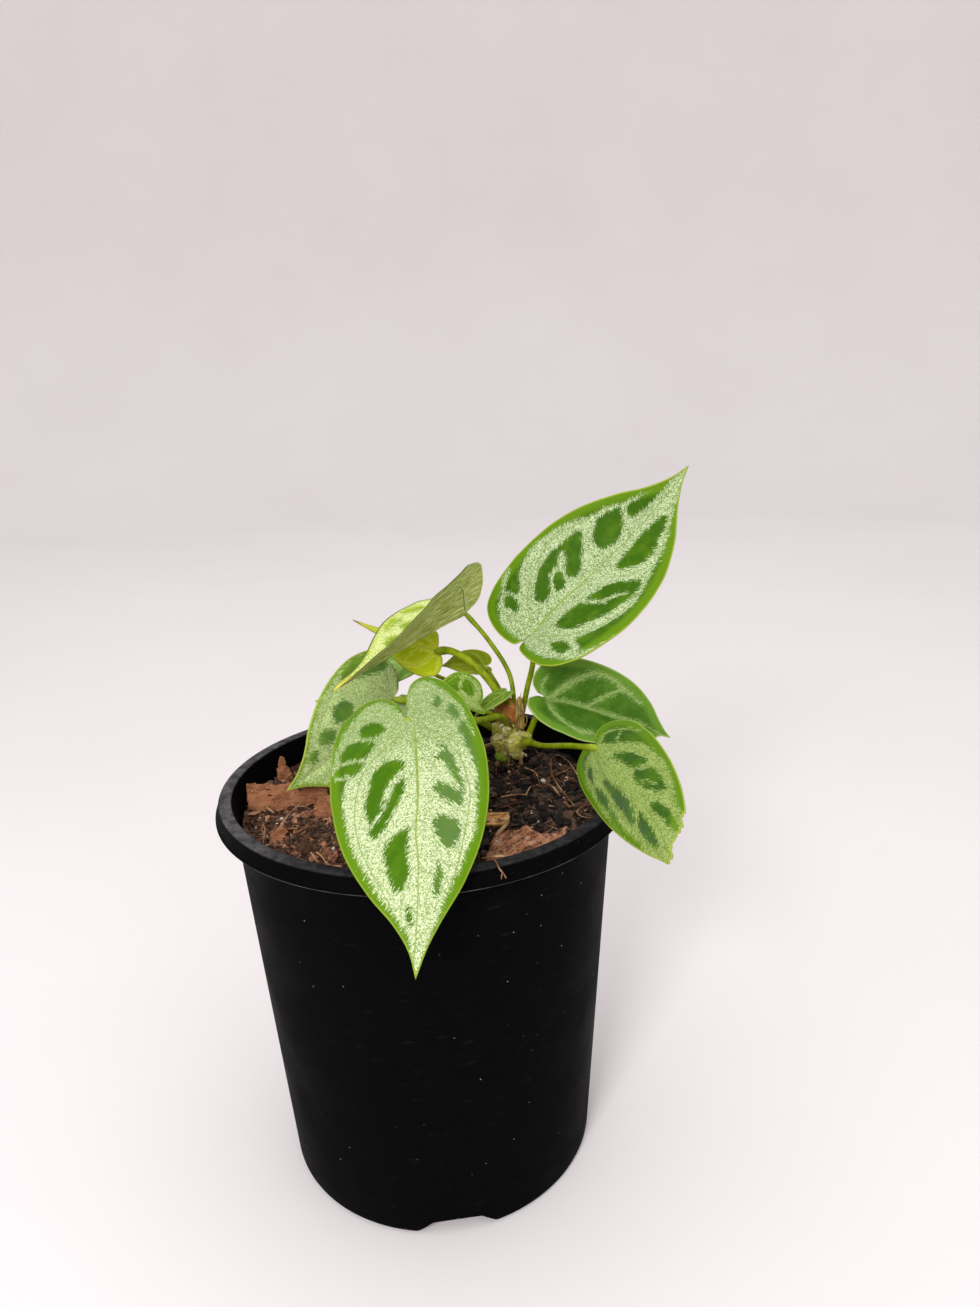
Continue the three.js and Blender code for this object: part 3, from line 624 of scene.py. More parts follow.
# %% Named roots and twigs
TWIGS = {
    "looped": (0.28, 4.0, [(54.6, 8.3), (52.8, 15.8), (50.9, 22.6), (48.9, 25.7), (46.6, 21.1),
                           (45.5, 12.8), (45.8, 3.1), (47.6, -7.2), (50.7, -16.9)]),
    "forked": (0.36, 3.2, [(26.5, -7.8), (30.3, -8.2), (33.4, -7.7), (35.6, -6.3)]),
    "forked_branch": (0.3, 3.4, [(35.2, -6.5), (36.8, -3.1), (38.8, 0)]),
    "crossing": (0.32, 2.4, [(25.9, -14.3), (28.6, -14.5), (30.9, -16.3)]),
    "orange": (0.42, 3.0, [(42.5, 3), (44.7, -1.4), (46.9, -7.4)]),
    "orange_short": (0.55, 2.6, [(48.2, -11.5), (49.5, -15.5)]),
    "back": (0.3, 2.6, [(36.2, 17), (39.6, 12.1), (40.7, 1.5)]),
    "thin_right": (0.25, 2.6, [(47.2, 11.6), (49.9, 12.2), (52.9, 16.5)]),
    "side_right": (0.24, 2.8, [(56.1, -14.3), (53.7, -17.1), (51.2, -21.4), (52.1, -25.1), (55.7, -24.8)]),
    "left_tan": (0.45, 2.4, [(-53.6, -16.2), (-52.5, -21.3), (-51.9, -25.6), (-49, -30)]),
    "left_tan_branch": (0.34, 2.6, [(-53.4, -18.4), (-50.9, -25.7), (-49.8, -34)]),
    "left_light": (0.55, 3.0, [(-41.3, -28.7), (-39.1, -28.2), (-37.1, -24.9), (-34.6, -22.3)]),
    "left_front": (0.32, 2.6, [(-33.7, -40.3), (-32, -44.8), (-30.7, -47.3)]),
    "left_front_next": (0.32, 2.6, [(-31.8, -40.4), (-29.5, -45), (-27.5, -48.8)]),
    "left_stick": (0.42, 3.0, [(-46.6, -23.3), (-45.2, -13.4), (-43.1, -2.4)]),
    "on_bark": (0.4, 5.6, [(-54.6, -9.6), (-52.1, -13.7), (-49.5, -16.2)]),
    "pink_strip": (0.95, 3.4, [(27.8, -25.6), (26.4, -30), (23.6, -33.9)]),
}
twig_lines = []
for radius, lift, spots_on_mix in TWIGS.values():
    points = [(x, y, float(soil_height(x, y)) + lift - (0.8 if i in (0, len(spots_on_mix) - 1) else 0))
              for i, (x, y) in enumerate(spots_on_mix)]
    twig_lines.append(strand(points, 5, radius, 1, 0.35))
RIM_TWIG = [(19.4, -61.4, 143.7), (22.3, -61.1, 143.9), (26, -60.8, 143.8)]
RIM_ROOT = [(21.8, -60.6, 143.8), (23.4, -64.4, 144), (24.2, -68.2, 144), (25.4, -70.4, 143.4),
            (25.9, -71.2, 142.6)]
RIM_BRANCH = [(25, -69.6, 143.7), (24.7, -70.8, 143.2), (24.6, -71.4, 142.5)]
for points, radius, thinning in ((RIM_TWIG, 0.32, 0), (RIM_ROOT, 0.36, 0.5), (RIM_BRANCH, 0.22, 0.5)):
    twig_lines.append(strand(points, 4, radius, 1, thinning))

# %% Loose fibres
FIBRE_COUNT, FIBRE_REACH = 300, 60
for _ in range(FIBRE_COUNT):
    angle, away = draw.uniform(0, math.tau), FIBRE_REACH * math.sqrt(draw.random())
    x, y, heading = away * math.cos(angle), away * math.sin(angle), draw.uniform(0, math.tau)
    length, curl = 1.2 + 6 * draw.random() ** 2.2, draw.uniform(-0.22, 0.22)
    points = []
    for k in range(4):
        px = x + length * k / 3 * math.cos(heading + curl * k)
        py = y + length * k / 3 * math.sin(heading + curl * k)
        keep = min(1.0, (SOIL_RADIUS - 1.5) / math.hypot(px, py))
        points.append((px * keep, py * keep, float(soil_height(px, py)) + draw.uniform(0.2, 1.8)))
    twig_lines.append(strand(points, 3, draw.uniform(0.07, 0.17), 1.1))
twig_mesh = tubes("roots_and_fibres", twig_lines, 0)
print("tubes on the mix:", len(twig_lines), "faces:", len(twig_mesh.polygons))

# %% Finish of the roots and fibres
root_finish, tree, root_place = new_finish("dry_roots", Roughness=0.8, Specular_IOR_Level=0.3)
patchy = grain(tree, root_place, 9, 3)
thread = grain(tree, root_place, 0.5, 2)
straw = layer(tree, (112, 72, 46), (186, 150, 108), patchy, 0.42, 0.66)
straw = layer(tree, straw, (84, 54, 38), thread, 0.5, 0.75)
wear(tree, straw, None, thread, 0.12)
place_piece("roots_and_fibres", twig_mesh, [], [root_finish])

# %% [markdown]
# ## Bark pieces and the wood chip
# The CAD holds each piece's place and outline as a plain slab. Real bark is flaky, with layers
# that end in ragged steps. A copy of the CAD solid is merged, voxel remeshed to an even skin, and
# then pushed in and out along its normals by noise that is stretched along the grain.

# %% Rough copies of plain solids
def merged_copy(node):
    bm = bmesh.new()
    bm.from_mesh(frame["nodes"][node].data)
    bmesh.ops.remove_doubles(bm, verts=bm.verts[:], dist=1e-6)
    return mesh_of(bm, node + "_copy", smooth=False)


def rough_copy(node, name, voxel, pushes, soften=0):
    """Remeshes a CAD solid and pushes its skin by (amount, size, stretch, seed) noises, in mm."""
    mesh = applied(merged_copy(node), name,
                   ("REMESH", {"mode": "VOXEL", "voxel_size": voxel * MM}),
                   ("SMOOTH", {"iterations": soften, "factor": 0.5}))
    places = places_of(mesh)
    normals = np.empty(len(places) * 3)
    mesh.vertices.foreach_get("normal", normals)
    normals = normals.reshape(-1, 3)
    shift = np.zeros(len(places))
    for amount, size, stretch, seed in pushes:
        for i, place in enumerate(places * np.array(stretch)):
            shift[i] += amount * rough(place, size, seed)
    set_places(mesh, places + normals * shift[:, None])
    mesh.shade_smooth()
    return mesh


# %% Bark finish
def bark_finish(name, dark, red, light, stretch, turn=0.0, layered=0.5, flecks=0.75, patch=5):
    material, tree, place = new_finish(name, Roughness=0.9, Specular_IOR_Level=0.2)
    place = add(tree, "Mapping", {"Vector": place, "Rotation": (0, 0, math.radians(turn))})
    layers = grain(tree, place, 1.6, 5, 0.65, stretch=stretch)
    dusty = grain(tree, place, patch, 3)
    fine = grain(tree, place, 0.4, 3, 0.7)
    colour = layer(tree, dark, red, layers, 0.4, 0.56, 1 - layered, 1.0)
    colour = mix(tree, times(tree, step(tree, dusty, 0.42, 0.66), 0.7), colour, light)
    colour = layer(tree, colour, dark, fine, 0.52, 0.66, 0.0, flecks)
    cracks = grain(tree, place, 1.0, 5, 0.7, stretch=stretch)
    colour = layer(tree, colour, (52, 34, 26), cracks, 0.43, 0.36, 0.0, layered)
    wear(tree, colour, None, plus(tree, layers, fine), 0.35)
    return material


# %% Bark pieces and the wood chip
red_bark = bark_finish("red_bark", (76, 44, 30), (148, 96, 64), (166, 112, 80), (0.45, 1.5, 1.5),
                       turn=-24, layered=0.55, flecks=0.5)
grained_bark = bark_finish("grained_bark", (64, 34, 22), (160, 106, 76), (202, 152, 120),
                           (0.22, 1.7, 1.7), turn=-50, layered=1.0, patch=2.6)
BARK = ("bark_left", "bark_left_low", "bark_left_front", "bark_upright", "bark_front")
for seed, node in enumerate(BARK, 1):
    finish = grained_bark if node == "bark_front" else red_bark
    bark_mesh = rough_copy(node, node + "_rough", 0.36,
                           [(0.4, 3.6, (0.7, 1, 1), seed), (0.32, 1.1, (0.45, 1.3, 1.3), seed + 10)], 1)
    place_piece(node + "_rough", bark_mesh, [node], [finish])
    print(node, "faces:", len(bark_mesh.polygons))

tan_wood = bark_finish("tan_wood", (64, 34, 8), (224, 162, 96), (255, 214, 160), (0.25, 2.0, 2.0),
                       layered=0.9, flecks=0.5, patch=2.2)
wood_mesh = rough_copy("wood_chip", "wood_chip_rough", 0.3,
                       [(0.3, 1.4, (0.3, 1.6, 1.6), 7), (0.15, 0.5, (0.3, 1.8, 1.8), 8)])
place_piece("wood_chip_rough", wood_mesh, ["wood_chip"], [tan_wood])

# %% [markdown]
# The left half of the mix is strewn with larger reddish flakes, thin and flat as roof slates, and
# fine crumbs lie on the bark itself. A ray dropped on the mix and the bark finds how high each one
# has to lie, so none of them floats or drowns.

# %% Flakes and crumbs that lie on the bark
ground = bmesh.new()
for name in ("mix_body", *(node + "_rough" for node in (*BARK, "wood_chip"))):
    ground.from_mesh(bpy.data.objects[name].data)
ground_tree = BVHTree.FromBMesh(ground)
ground.free()


def ground_height(x, y):
    hit = ground_tree.ray_cast(Vector((x, y, 160)) * MM, Vector((0, 0, -1)))[0]
    return hit.z / MM


FLAKE_COUNT, CRUMBS_ON_BARK = 210, 420
FLAKE_ACROSS, FLAKE_ALONG = (-61, -4), (-56, 34)
BARK_STANDS = 1.6  # where the ground is this far over the mix, it is bark
flake_templates = crumb_templates(4, 0.26)
flakes = []
while len(flakes) < FLAKE_COUNT + CRUMBS_ON_BARK:
    large = len(flakes) < FLAKE_COUNT
    x, y = draw.uniform(*FLAKE_ACROSS), draw.uniform(*FLAKE_ALONG)
    if math.hypot(x, y) < SOIL_RADIUS - 2.5:
        size = 0.8 + 1.8 * draw.random() ** 2.4 if large else 0.3 + 0.55 * draw.random() ** 2
        height = ground_height(x, y)
        if large and height > soil_height(x, y) + BARK_STANDS:
            continue
        kind = "flake" if large else draw.choice(("flake", "grain", "splinter"))
        flakes.append((x, y, height + (draw.uniform(0, 0.7) if large else 0.1), size,
                       draw.uniform(0.3, 0.95), kind, draw.uniform(-0.5, 0.5)))

# %% Finish of the flakes
flake_finish, tree, flake_place = new_finish("reddish_flakes", Roughness=0.9, Specular_IOR_Level=0.2)
flake_tone = attribute(tree, "tone")
flake_grain = grain(tree, flake_place, 1.1, 4, 0.65)
slate = layer(tree, (80, 50, 36), (146, 98, 70), flake_grain, 0.38, 0.62)
slate = layer(tree, slate, (186, 136, 104), flake_tone, 0.6, 1.0, 0.0, 0.7)
slate = layer(tree, slate, (38, 24, 18), flake_tone, 0.5, 0.35, 0.0, 0.8)
wear(tree, slate, None, flake_grain, 0.3)
flake_bm = scatter(flakes, {**flake_templates, **{k: templates[k] for k in ("grain", "splinter")}})
print("flakes:", len(flakes), "faces:", len(flake_bm.faces))
place_piece("reddish_flakes", mesh_of(flake_bm, "reddish_flakes", smooth=False), [], [flake_finish])

# %% [markdown]
# ## The crown
# Stalks leave the crown from swollen, ringed nodes, and where old stalks fell off it keeps tan
# scars. The CAD gives its lumps; smoothing a remeshed copy grows them together, and noise makes
# them knobbly. The scars and stubs are laid on as small crumbs.

# %% Crown body
crown_mesh = rough_copy("crown", "knobbly_crown", 0.36,
                        [(0.9, 4.2, (1, 1, 1.3), 21), (0.07, 0.9, (1, 1, 2.2), 22)], 8)
crown_skin, tree, crown_place = new_finish("olive_crown", Roughness=0.55, Specular_IOR_Level=0.2,
                                           Subsurface_Weight=0.08, Subsurface_Scale=0.6 * MM)
crown_height = axis_of(tree, crown_place, "Z")
rings = grain(tree, crown_place, 1.4, 4, 0.6, stretch=(0.6, 0.6, 2.4))
patches = grain(tree, crown_place, 4.6, 3, 0.5)
olive = layer(tree, (170, 168, 48), (214, 210, 112), rings, 0.35, 0.6)
olive = layer(tree, olive, (150, 116, 66), patches, 0.57, 0.66, 0.0, 0.7)
olive = layer(tree, olive, (240, 234, 176), grain(tree, crown_place, 3.0, 3, 0.5), 0.55, 0.61, 0.0, 0.9)
# The crown's foot is painted dark brown: brown husks there, and painted shade low by the mix.
husks_and_shade = step(tree, crown_height, 140.5 * MM, 136.5 * MM)
olive = mix(tree, times(tree, husks_and_shade, 0.75), olive, (64, 42, 24))
wear(tree, olive, None, rings, 0.16)
place_piece("knobbly_crown", crown_mesh, ["crown"], [crown_skin])

# %% Scars and stubs on the crown
scar_spots = [(28.2, 25.4, 150.6, 1.0, 0.95, "flake", 0.9), (29.3, 25.0, 148.6, 1.1, 1.0, "flake", 1.2),
              (30.0, 24.8, 146.9, 0.7, 0.9, "flake", 1.0), (30.8, 25.0, 149.6, 0.8, 0.95, "flake", 0.7),
              (30.1, 24.8, 141.8, 1.9, 0.65, "flake", 1.45), (26.4, 25.4, 141.9, 1.2, 0.6, "flake", 1.3),
              (24.3, 26.4, 145.1, 1.0, 0.65, "flake", 1.2), (32.0, 24.8, 138.4, 0.8, 0.72, "grain", 0.4),
              (34.2, 25.0, 139.8, 0.9, 0.74, "grain", 0.2), (36.0, 25.2, 139.2, 0.7, 0.72, "grain", 0.2),
              (37.0, 25.6, 138.4, 0.8, 0.76, "grain", 0.7), (27.7, 24.9, 138.4, 2.9, 0.1, "grain", 0.5),
              (35.8, 25.2, 146.4, 1.2, 0.7, "flake", 0.8), (33.2, 26.0, 149.6, 1.0, 0.5, "flake", 0.9),
              (37.6, 27.0, 144.6, 0.9, 0.6, "flake", 0.6), (30.6, 36.4, 146.0, 1.4, 0.7, "flake", 1.2),
              (26.0, 33.8, 145.0, 1.3, 0.6, "flake", 1.2), (37.0, 33.4, 143.2, 1.3, 0.7, "flake", 1.2)]
scar_bm = scatter(scar_spots, crumb_templates(3, 0.22))
bmesh.ops.subdivide_edges(scar_bm, edges=scar_bm.edges[:], cuts=1, use_grid_fill=True, smooth=0.6)
scar_finish, tree, scar_place = new_finish("crown_scars", Roughness=0.7, Specular_IOR_Level=0.3)
scar_tone = attribute(tree, "tone")
scab = grain(tree, scar_place, 0.8, 4, 0.65)
scar = layer(tree, (120, 154, 26), (176, 156, 84), scar_tone, 0.15, 0.5)
scar = layer(tree, scar, (236, 234, 190), scar_tone, 0.6, 0.9)
scar = layer(tree, scar, (112, 86, 50), scab, 0.5, 0.66)
wear(tree, scar, None, scab, 0.4)
place_piece("crown_scars", mesh_of(scar_bm, "crown_scars"), [], [scar_finish])

# %% [markdown]
# Five young roots leave the crown's foot and bend down into the mix. They are the same tubes as
# the twigs, only thick and a little uneven, because a live root swells where it branches.

# %% Young thick roots
THICK_ROOTS = [
    (1.0, [(28.6, 28.0, 140), (27.0, 25.8, 138.2), (26.3, 24.6, 135.6), (26.0, 24.2, 132)]),
    (0.9, [(33.8, 27.0, 139.5), (34.8, 25.4, 137.8), (35.2, 24.6, 135.4), (35.4, 24.4, 132)]),
    (0.9, [(27.0, 33.0, 141), (22.4, 35.4, 138.4), (19.6, 37.0, 135), (18.8, 37.6, 132)]),
    (1.0, [(35.4, 34.0, 140), (39.4, 37.0, 137.6), (41.4, 39.6, 134.6), (42.0, 40.6, 132)]),
    (0.8, [(30.6, 27.0, 139), (30.4, 25.2, 137.2), (30.2, 24.4, 135), (30.1, 24.2, 132)]),
]
root_lines = []
for radius, points in THICK_ROOTS:
    way, shares = through(points, 6)
    root_lines.append((way, radius * (1.15 - 0.4 * shares + 0.08 * np.sin(shares * 21))))
thick_root_finish, tree, thick_place = new_finish("young_roots", Roughness=0.7)
felt = grain(tree, thick_place, 1.2, 4)
wear(tree, layer(tree, (110, 98, 46), (142, 104, 66), felt, 0.4, 0.62), None, felt, 0.3)
place_piece("young_roots", tubes("young_roots", root_lines, 2), [], [thick_root_finish])

# %% [markdown]
# ## What every blade shares
# A blade is a flat heart that is bent along its midrib, folded and cupped on each side of it, and
# twisted towards its tip. The numbers are the CAD's own, so the fine blade lies where the plain
# one does. A heart-shaped grid would waste faces, so the grid is laid out like a fan: one way runs
# round the outline, and the other from the stalk's joint to the margin.

# %% The blades' sizes and how each one lies
HEART = [(0.06, -0.55), (0.2, -0.88), (0.42, -1), (0.68, -0.8), (0.86, -0.35), (0.96, 0.06), (1, 0.2),
         (0.95, 0.38), (0.8, 0.55), (0.55, 0.7), (0.27, 0.82), (0.1, 0.91), (0, 1)]
CLOSED_LOBES = [(0.012, -0.5), (0.1, -0.9)] + HEART[2:]
LONG_TIPPED = HEART[:6] + [(1, 0.18), (0.95, 0.34), (0.8, 0.49), (0.55, 0.62), (0.3, 0.73), (0.15, 0.83),
                           (0.08, 0.92), (0, 1)]
SPIKED = HEART[:6] + [(1, 0.15), (0.92, 0.3), (0.7, 0.45), (0.38, 0.58), (0.16, 0.68), (0.09, 0.8), (0, 1)]
BRACT = [(0.12, -0.4), (0.5, -1), (0.85, -0.7), (1, 0.15), (0.9, 0.4), (0.62, 0.68), (0.3, 0.88), (0, 1)]


def leaf(at, heading, rise, roll, length, half, lobe, bend, tip_bend, fold, cup, sway, twist,
         stalk=None, shape=HEART, torn=None):
    """One blade's numbers: mm and degrees, with pairs for the left and right of the midrib."""
    return dict(at=at, heading=heading, rise=rise, roll=roll, length=length, half=half, lobe=lobe,
                bend=bend, tip_bend=tip_bend, fold=fold, cup=cup, sway=sway, twist=twist,
                stalk=stalk, shape=shape, torn=torn)


LEAVES = {
    "upper_right": leaf(
        (40.5, 31.3, 184.1), 74, 36.3, -24, 84, (27, 27.7), (8.5, 8), -22, 1, (14, 17), (3, -14), 4.5, -42,
        (1.05, [(34.3, 31.5, 146.5), (36.4, 32, 153), (38.6, 32, 163), (41, 32, 173.5)]),
        shape=CLOSED_LOBES),
    "front": leaf(
        (-2.1, -30.3, 174.8), 168.5, -23, 5, 80, (21.6, 27.3), (19.6, 16.5), 28.5, 16, (13, -23),
        (-10, -9.5), 10.3, 6,
        (1.35, [(31, 29.5, 148.5), (28.4, 24.8, 154.3), (20.2, 13, 157.8), (10, -7, 165)])),
    "right_middle": leaf(
        (45.5, 26, 160.8), 69, -23.6, -34, 61.5, (18.4, 19.8), (9, 10.6), -2.5, 19, (64, 16.5),
        (-2.5, -17), 0, 4,
        (1.15, [(36, 31, 140.5), (38.3, 30.5, 144), (40.6, 29.5, 150), (43.4, 27.6, 156.5)])),
    "right_lower": leaf(
        (57.8, -21.5, 159.7), 168, -6.5, -33.5, 62, (16.8, 13.4), (8.5, 7.2), 29, -1, (1.6, -24.6),
        (-13.4, -5), 0, 2,
        (1.05, [(33, 29, 141.5), (37.3, 26, 143.5), (42.2, 15.5, 146.1), (50.6, -5, 154)]),
        torn=(49.7, 0.72)),
    "left_folded": leaf(
        (16.1, 51.9, 188), 216.5, -6.5, -14, 72.3, (24.7, 15.8), (9.8, 9.2), 2.4, 2.3, (61.6, 39.6),
        (-12, -12), 5.6, 32.2,
        (0.9, [(32.8, 32.5, 150), (33.4, 33, 158), (32, 37, 167.5), (24.5, 45, 179)]), shape=LONG_TIPPED),
    "left_young": leaf(
        (4.2, 46, 174.8), 257.5, 20.5, 30, 35.2, (12, 11), (3.1, 1), -17, 4, (-15.5, 11.3),
        (-12, -8.5), 0.7, 0,
        (1.4, [(30.4, 33.2, 152), (25.8, 34, 163.4), (18.4, 36.5, 171.9), (10.4, 41.4, 175.8)]),
        shape=SPIKED),
    "left_lower": leaf(
        (-12.5, 35, 159.7), 202.5, -9.5, 64, 58.5, (22, 23.4), (11, 10.6), 29, 21, (9, 6), (-9, -12), -1.5, 2,
        (1.1, [(27.5, 33.5, 145.5), (17, 34, 151), (3, 34.8, 156)])),
    "small_round": leaf(
        (19.7, 18.4, 162.1), 233.5, 33, 37, 21.5, (5.1, 10.8), (3.4, 2.8), 5.5, 10, (8, 19.5), (-10, 0), 0, 1,
        (0.65, [(29, 30.5, 150), (27, 26.5, 154.8), (23.8, 21, 157.4), (20.8, 18.6, 160)])),
    "small_narrow": leaf(
        (29.6, 28.6, 162.4), 238, -18, 0, 15.2, (4.7, 4.8), (2.5, 2.5), 12, 7, (7, 7), (-8.5, -11), 0, 3,
        (0.65, [(31.8, 30.6, 150.5), (31.4, 30.4, 156), (30.4, 29.4, 160.2)])),
    "small_pale": leaf(
        (22.7, 54.5, 165.5), 262, 11, 38, 17.5, (4.8, 6.9), (3.1, 3.1), 16, 16, (8, 11.5), (-10, -8), 0, 2.5,
        (0.65, [(31.2, 35.5, 150), (29.4, 43, 157), (25.4, 50.5, 162.8)])),
    "far_left": leaf(
        (-10.2, 60, 165.6), 253.5, -13, 12, 38, (11.5, 11.2), (5.3, 5.3), 5, 8, (6.5, 3),
        (-10, -14.5), 0, 1.5,
        (0.8, [(30.4, 33.4, 146), (18, 46, 155.5), (4, 55.5, 161.5)])),
}
print("blades:", len(LEAVES))

# %% Bending a flat blade into its place
BEND_PARTS, FOLD_PARTS = 12, 6  # steps along the midrib, and out from it


def bend_blade(blade, x, y):
    """Where flat points x across and y along end up, and the blade's normals there."""
    def lies(x, y):
        heading, rise, roll = (math.radians(blade[k]) for k in ("heading", "rise", "roll"))
        along = np.array((math.cos(rise) * math.sin(heading), math.cos(rise) * math.cos(heading),
                          math.sin(rise)))
        level = np.array((math.cos(heading), -math.sin(heading), 0))
        upright = np.cross(level, along)
        across = level * math.cos(roll) + upright * math.sin(roll)
        face = upright * math.cos(roll) - level * math.sin(roll)
        share = y / blade["length"]
        bend, tip_bend, sway = (math.radians(blade[k]) for k in ("bend", "tip_bend", "sway"))

        def turned(part):
            s = share * part
            return -bend * s - tip_bend * np.maximum(s, 0) ** 4

        place = np.tile(np.array(blade["at"], float), (len(x), 1))
        for part in (np.arange(BEND_PARTS) + 0.5) / BEND_PARTS:
            turn, swing = turned(part), sway * share * part
            forward = np.outer(np.cos(turn) * np.cos(swing), along)
            upward = np.outer(np.sin(turn) * np.cos(swing), face)
            place += (forward + upward + np.outer(np.sin(swing), across)) * (y / BEND_PARTS)[:, None]
        turn = turned(1)
        face_here = np.outer(np.cos(turn), face) - np.outer(np.sin(turn), along)
        twist = (math.radians(blade["twist"]) * share)[:, None]
        sideways = across * np.cos(twist) + face_here * np.sin(twist)
        upward = face_here * np.cos(twist) - across * np.sin(twist)
        side = (x >= 0).astype(int)
        fold = np.radians(np.array(blade["fold"], float))[side]
        cup = np.radians(np.array(blade["cup"], float))[side]
        reach = np.abs(x)
        for part in (np.arange(FOLD_PARTS) + 0.5) / FOLD_PARTS:
            slope = fold + cup * reach / np.array(blade["half"], float)[side] * part
            place += (sideways * (np.sign(x) * np.cos(slope))[:, None]
                      + upward * np.sin(slope)[:, None]) * (reach / FOLD_PARTS)[:, None]
        return place

    x, y = np.asarray(x, float), np.asarray(y, float)
    normal = np.cross(lies(x + 0.4, y) - lies(x - 0.4, y), lies(x, y + 0.4) - lies(x, y - 0.4))
    return lies(x, y), normal / np.linalg.norm(normal, axis=1)[:, None]


# %% Outline of a flat blade
def evenly(line, count):
    """The same line with count steps of even length."""
    gaps = np.hypot(*np.diff(line, axis=0).T)
    far = np.concatenate([[0], np.cumsum(gaps)])
    wanted = np.linspace(0, far[-1], count + 1)
    return np.stack([np.interp(wanted, far, line[:, i]) for i in (0, 1)], 1)


def smooth_flat(points, steps):
    """A uniform spline through flat points, as the CAD draws a blade's outline."""
    p = np.array(points, float)
    p = np.vstack([2 * p[0] - p[1], p, 2 * p[-1] - p[-2]])
    t = (np.arange(steps) / steps)[:, None]
    parts = [0.5 * (2 * p[i] + (p[i + 1] - p[i - 1]) * t
                    + (2 * p[i - 1] - 5 * p[i] + 4 * p[i + 1] - p[i + 2]) * t ** 2
                    + (3 * p[i] - p[i - 1] - 3 * p[i + 1] + p[i + 2]) * t ** 3)
             for i in range(1, len(p) - 2)]
    return np.vstack(parts + [p[-2:-1]])


def flat_outline(blade, count, ragged=0.0, seed=0):
    """The outline from the cleft round the tip and back, as count steps."""
    sides = []
    for index, sign in ((0, -1), (1, 1)):
        points = [(sign * across * blade["half"][index],
                   along * (blade["lobe"][index] if along < 0 else blade["length"]))
                  for across, along in blade["shape"]]
        sides.append(evenly(smooth_flat(points, 16), count // 2))
    line = np.vstack([sides[0], sides[1][::-1][1:]])
    if blade["torn"]:
        at, slope = blade["torn"]
        with np.errstate(divide="ignore", invalid="ignore"):
            share = at / (line[:, 1] - slope * line[:, 0])
        cut = (share > 0) & (share < 1)
        teeth = np.array([1 + 0.035 * rough((x, 0, 0), 2.2, 5) for x in line[:, 0]])
        line[cut] *= (share * teeth)[cut][:, None]
    if ragged:
        bite = np.array([1 - ragged * abs(rough((i * 0.7, 0, 0), 3.0, seed)) for i in range(len(line))])
        line = line * bite[:, None]
    return line


# %% [markdown]
# ## Where the silver lies
# The silver follows the veins: a broad band along the midrib, one along each basal vein that runs
# parallel to the margin, and thinner ones between them. On five blades the lines are placed from
# the photograph, each as a few points across and along the flat blade, in millimetres. A
# third number is the half width of a line that is silver itself; the others only mark a vein.
# The other blades get the usual pattern in shares of their own size.

# %% Silver bands of the upper right blade
BANDS = {}
BANDS["upper_right"] = {
    "midrib": [(0.5, 0.5), (-1, 8), (-1.5, 16), (-1, 26), (-0.5, 36), (0, 46), (0.5, 56.5), (0.5, 66.5),
               (0.5, 74), (0.5, 84)],
    "basal_left": [(-1, 1.5), (-9, 6), (-14.5, 11.5), (-18.5, 18.5), (-20.5, 27), (-20, 35), (-17, 43.5),
                   (-14.5, 51.5), (-10.5, 58.5), (-7, 65), (-4.5, 70.5)],
    "lateral_left_1": [(-0.5, 33), (-7, 37), (-11, 41), (-15.5, 44)],
    "lateral_left_2": [(0, 52.5), (-5, 54.5), (-8.5, 59.5)],
    "loop_left": [(-4.5, 23), (-9, 25), (-12, 28), (-15, 30)],
    "loop_left_inner": [(-9.5, 25.5), (-11.5, 23), (-10, 19), (-5, 15.5)],
    "lobe_left": [(0, 0.5, 3.6), (-5, -2.5, 2.8), (-12.5, -2, 1.6), (-18, 0, 1), (-21, 3.5, 0.8),
                  (-24, 7.5, 0.8), (-25.5, 11.5, 0.4)],
    "lobe_left_1": [(-21, 4, 0.4), (-18, 5.5, 0.6), (-13.5, 7, 1)],
    "lobe_left_2": [(-15, 2), (-8, 2)],
    "basal_right": [(3, 0), (12, 6.5), (17, 12.5), (20, 19), (21, 27.5), (20.5, 34.5), (19, 40.5),
                    (16.5, 45.5), (15, 51), (11.5, 57.5), (8.5, 62.5), (5, 66), (3.5, 70.5), (2.5, 76)],
    "lateral_right_1": [(4, 33.5), (7.5, 38), (12, 42), (15.5, 46.5)],
    "lateral_right_2": [(2.5, 20.5, 0.9), (8.5, 23.5, 0.8), (12.5, 26.5, 0.8), (14, 31, 0.6),
                        (16.5, 34.5, 0.4)],
    "lateral_right_3": [(3, 40), (8, 44)],
    "lobe_right": [(3.5, -0.5, 3), (12, -2.5, 2.4), (18.5, -1, 1.3), (24, 3, 1.2), (26.5, 9, 1),
                   (28, 15, 0.8), (27.5, 19, 0.5)],
    "lobe_right_1": [(12.5, 6, 1.3), (18.5, 7.5, 0.9), (23.5, 6.5, 0.8)],
}

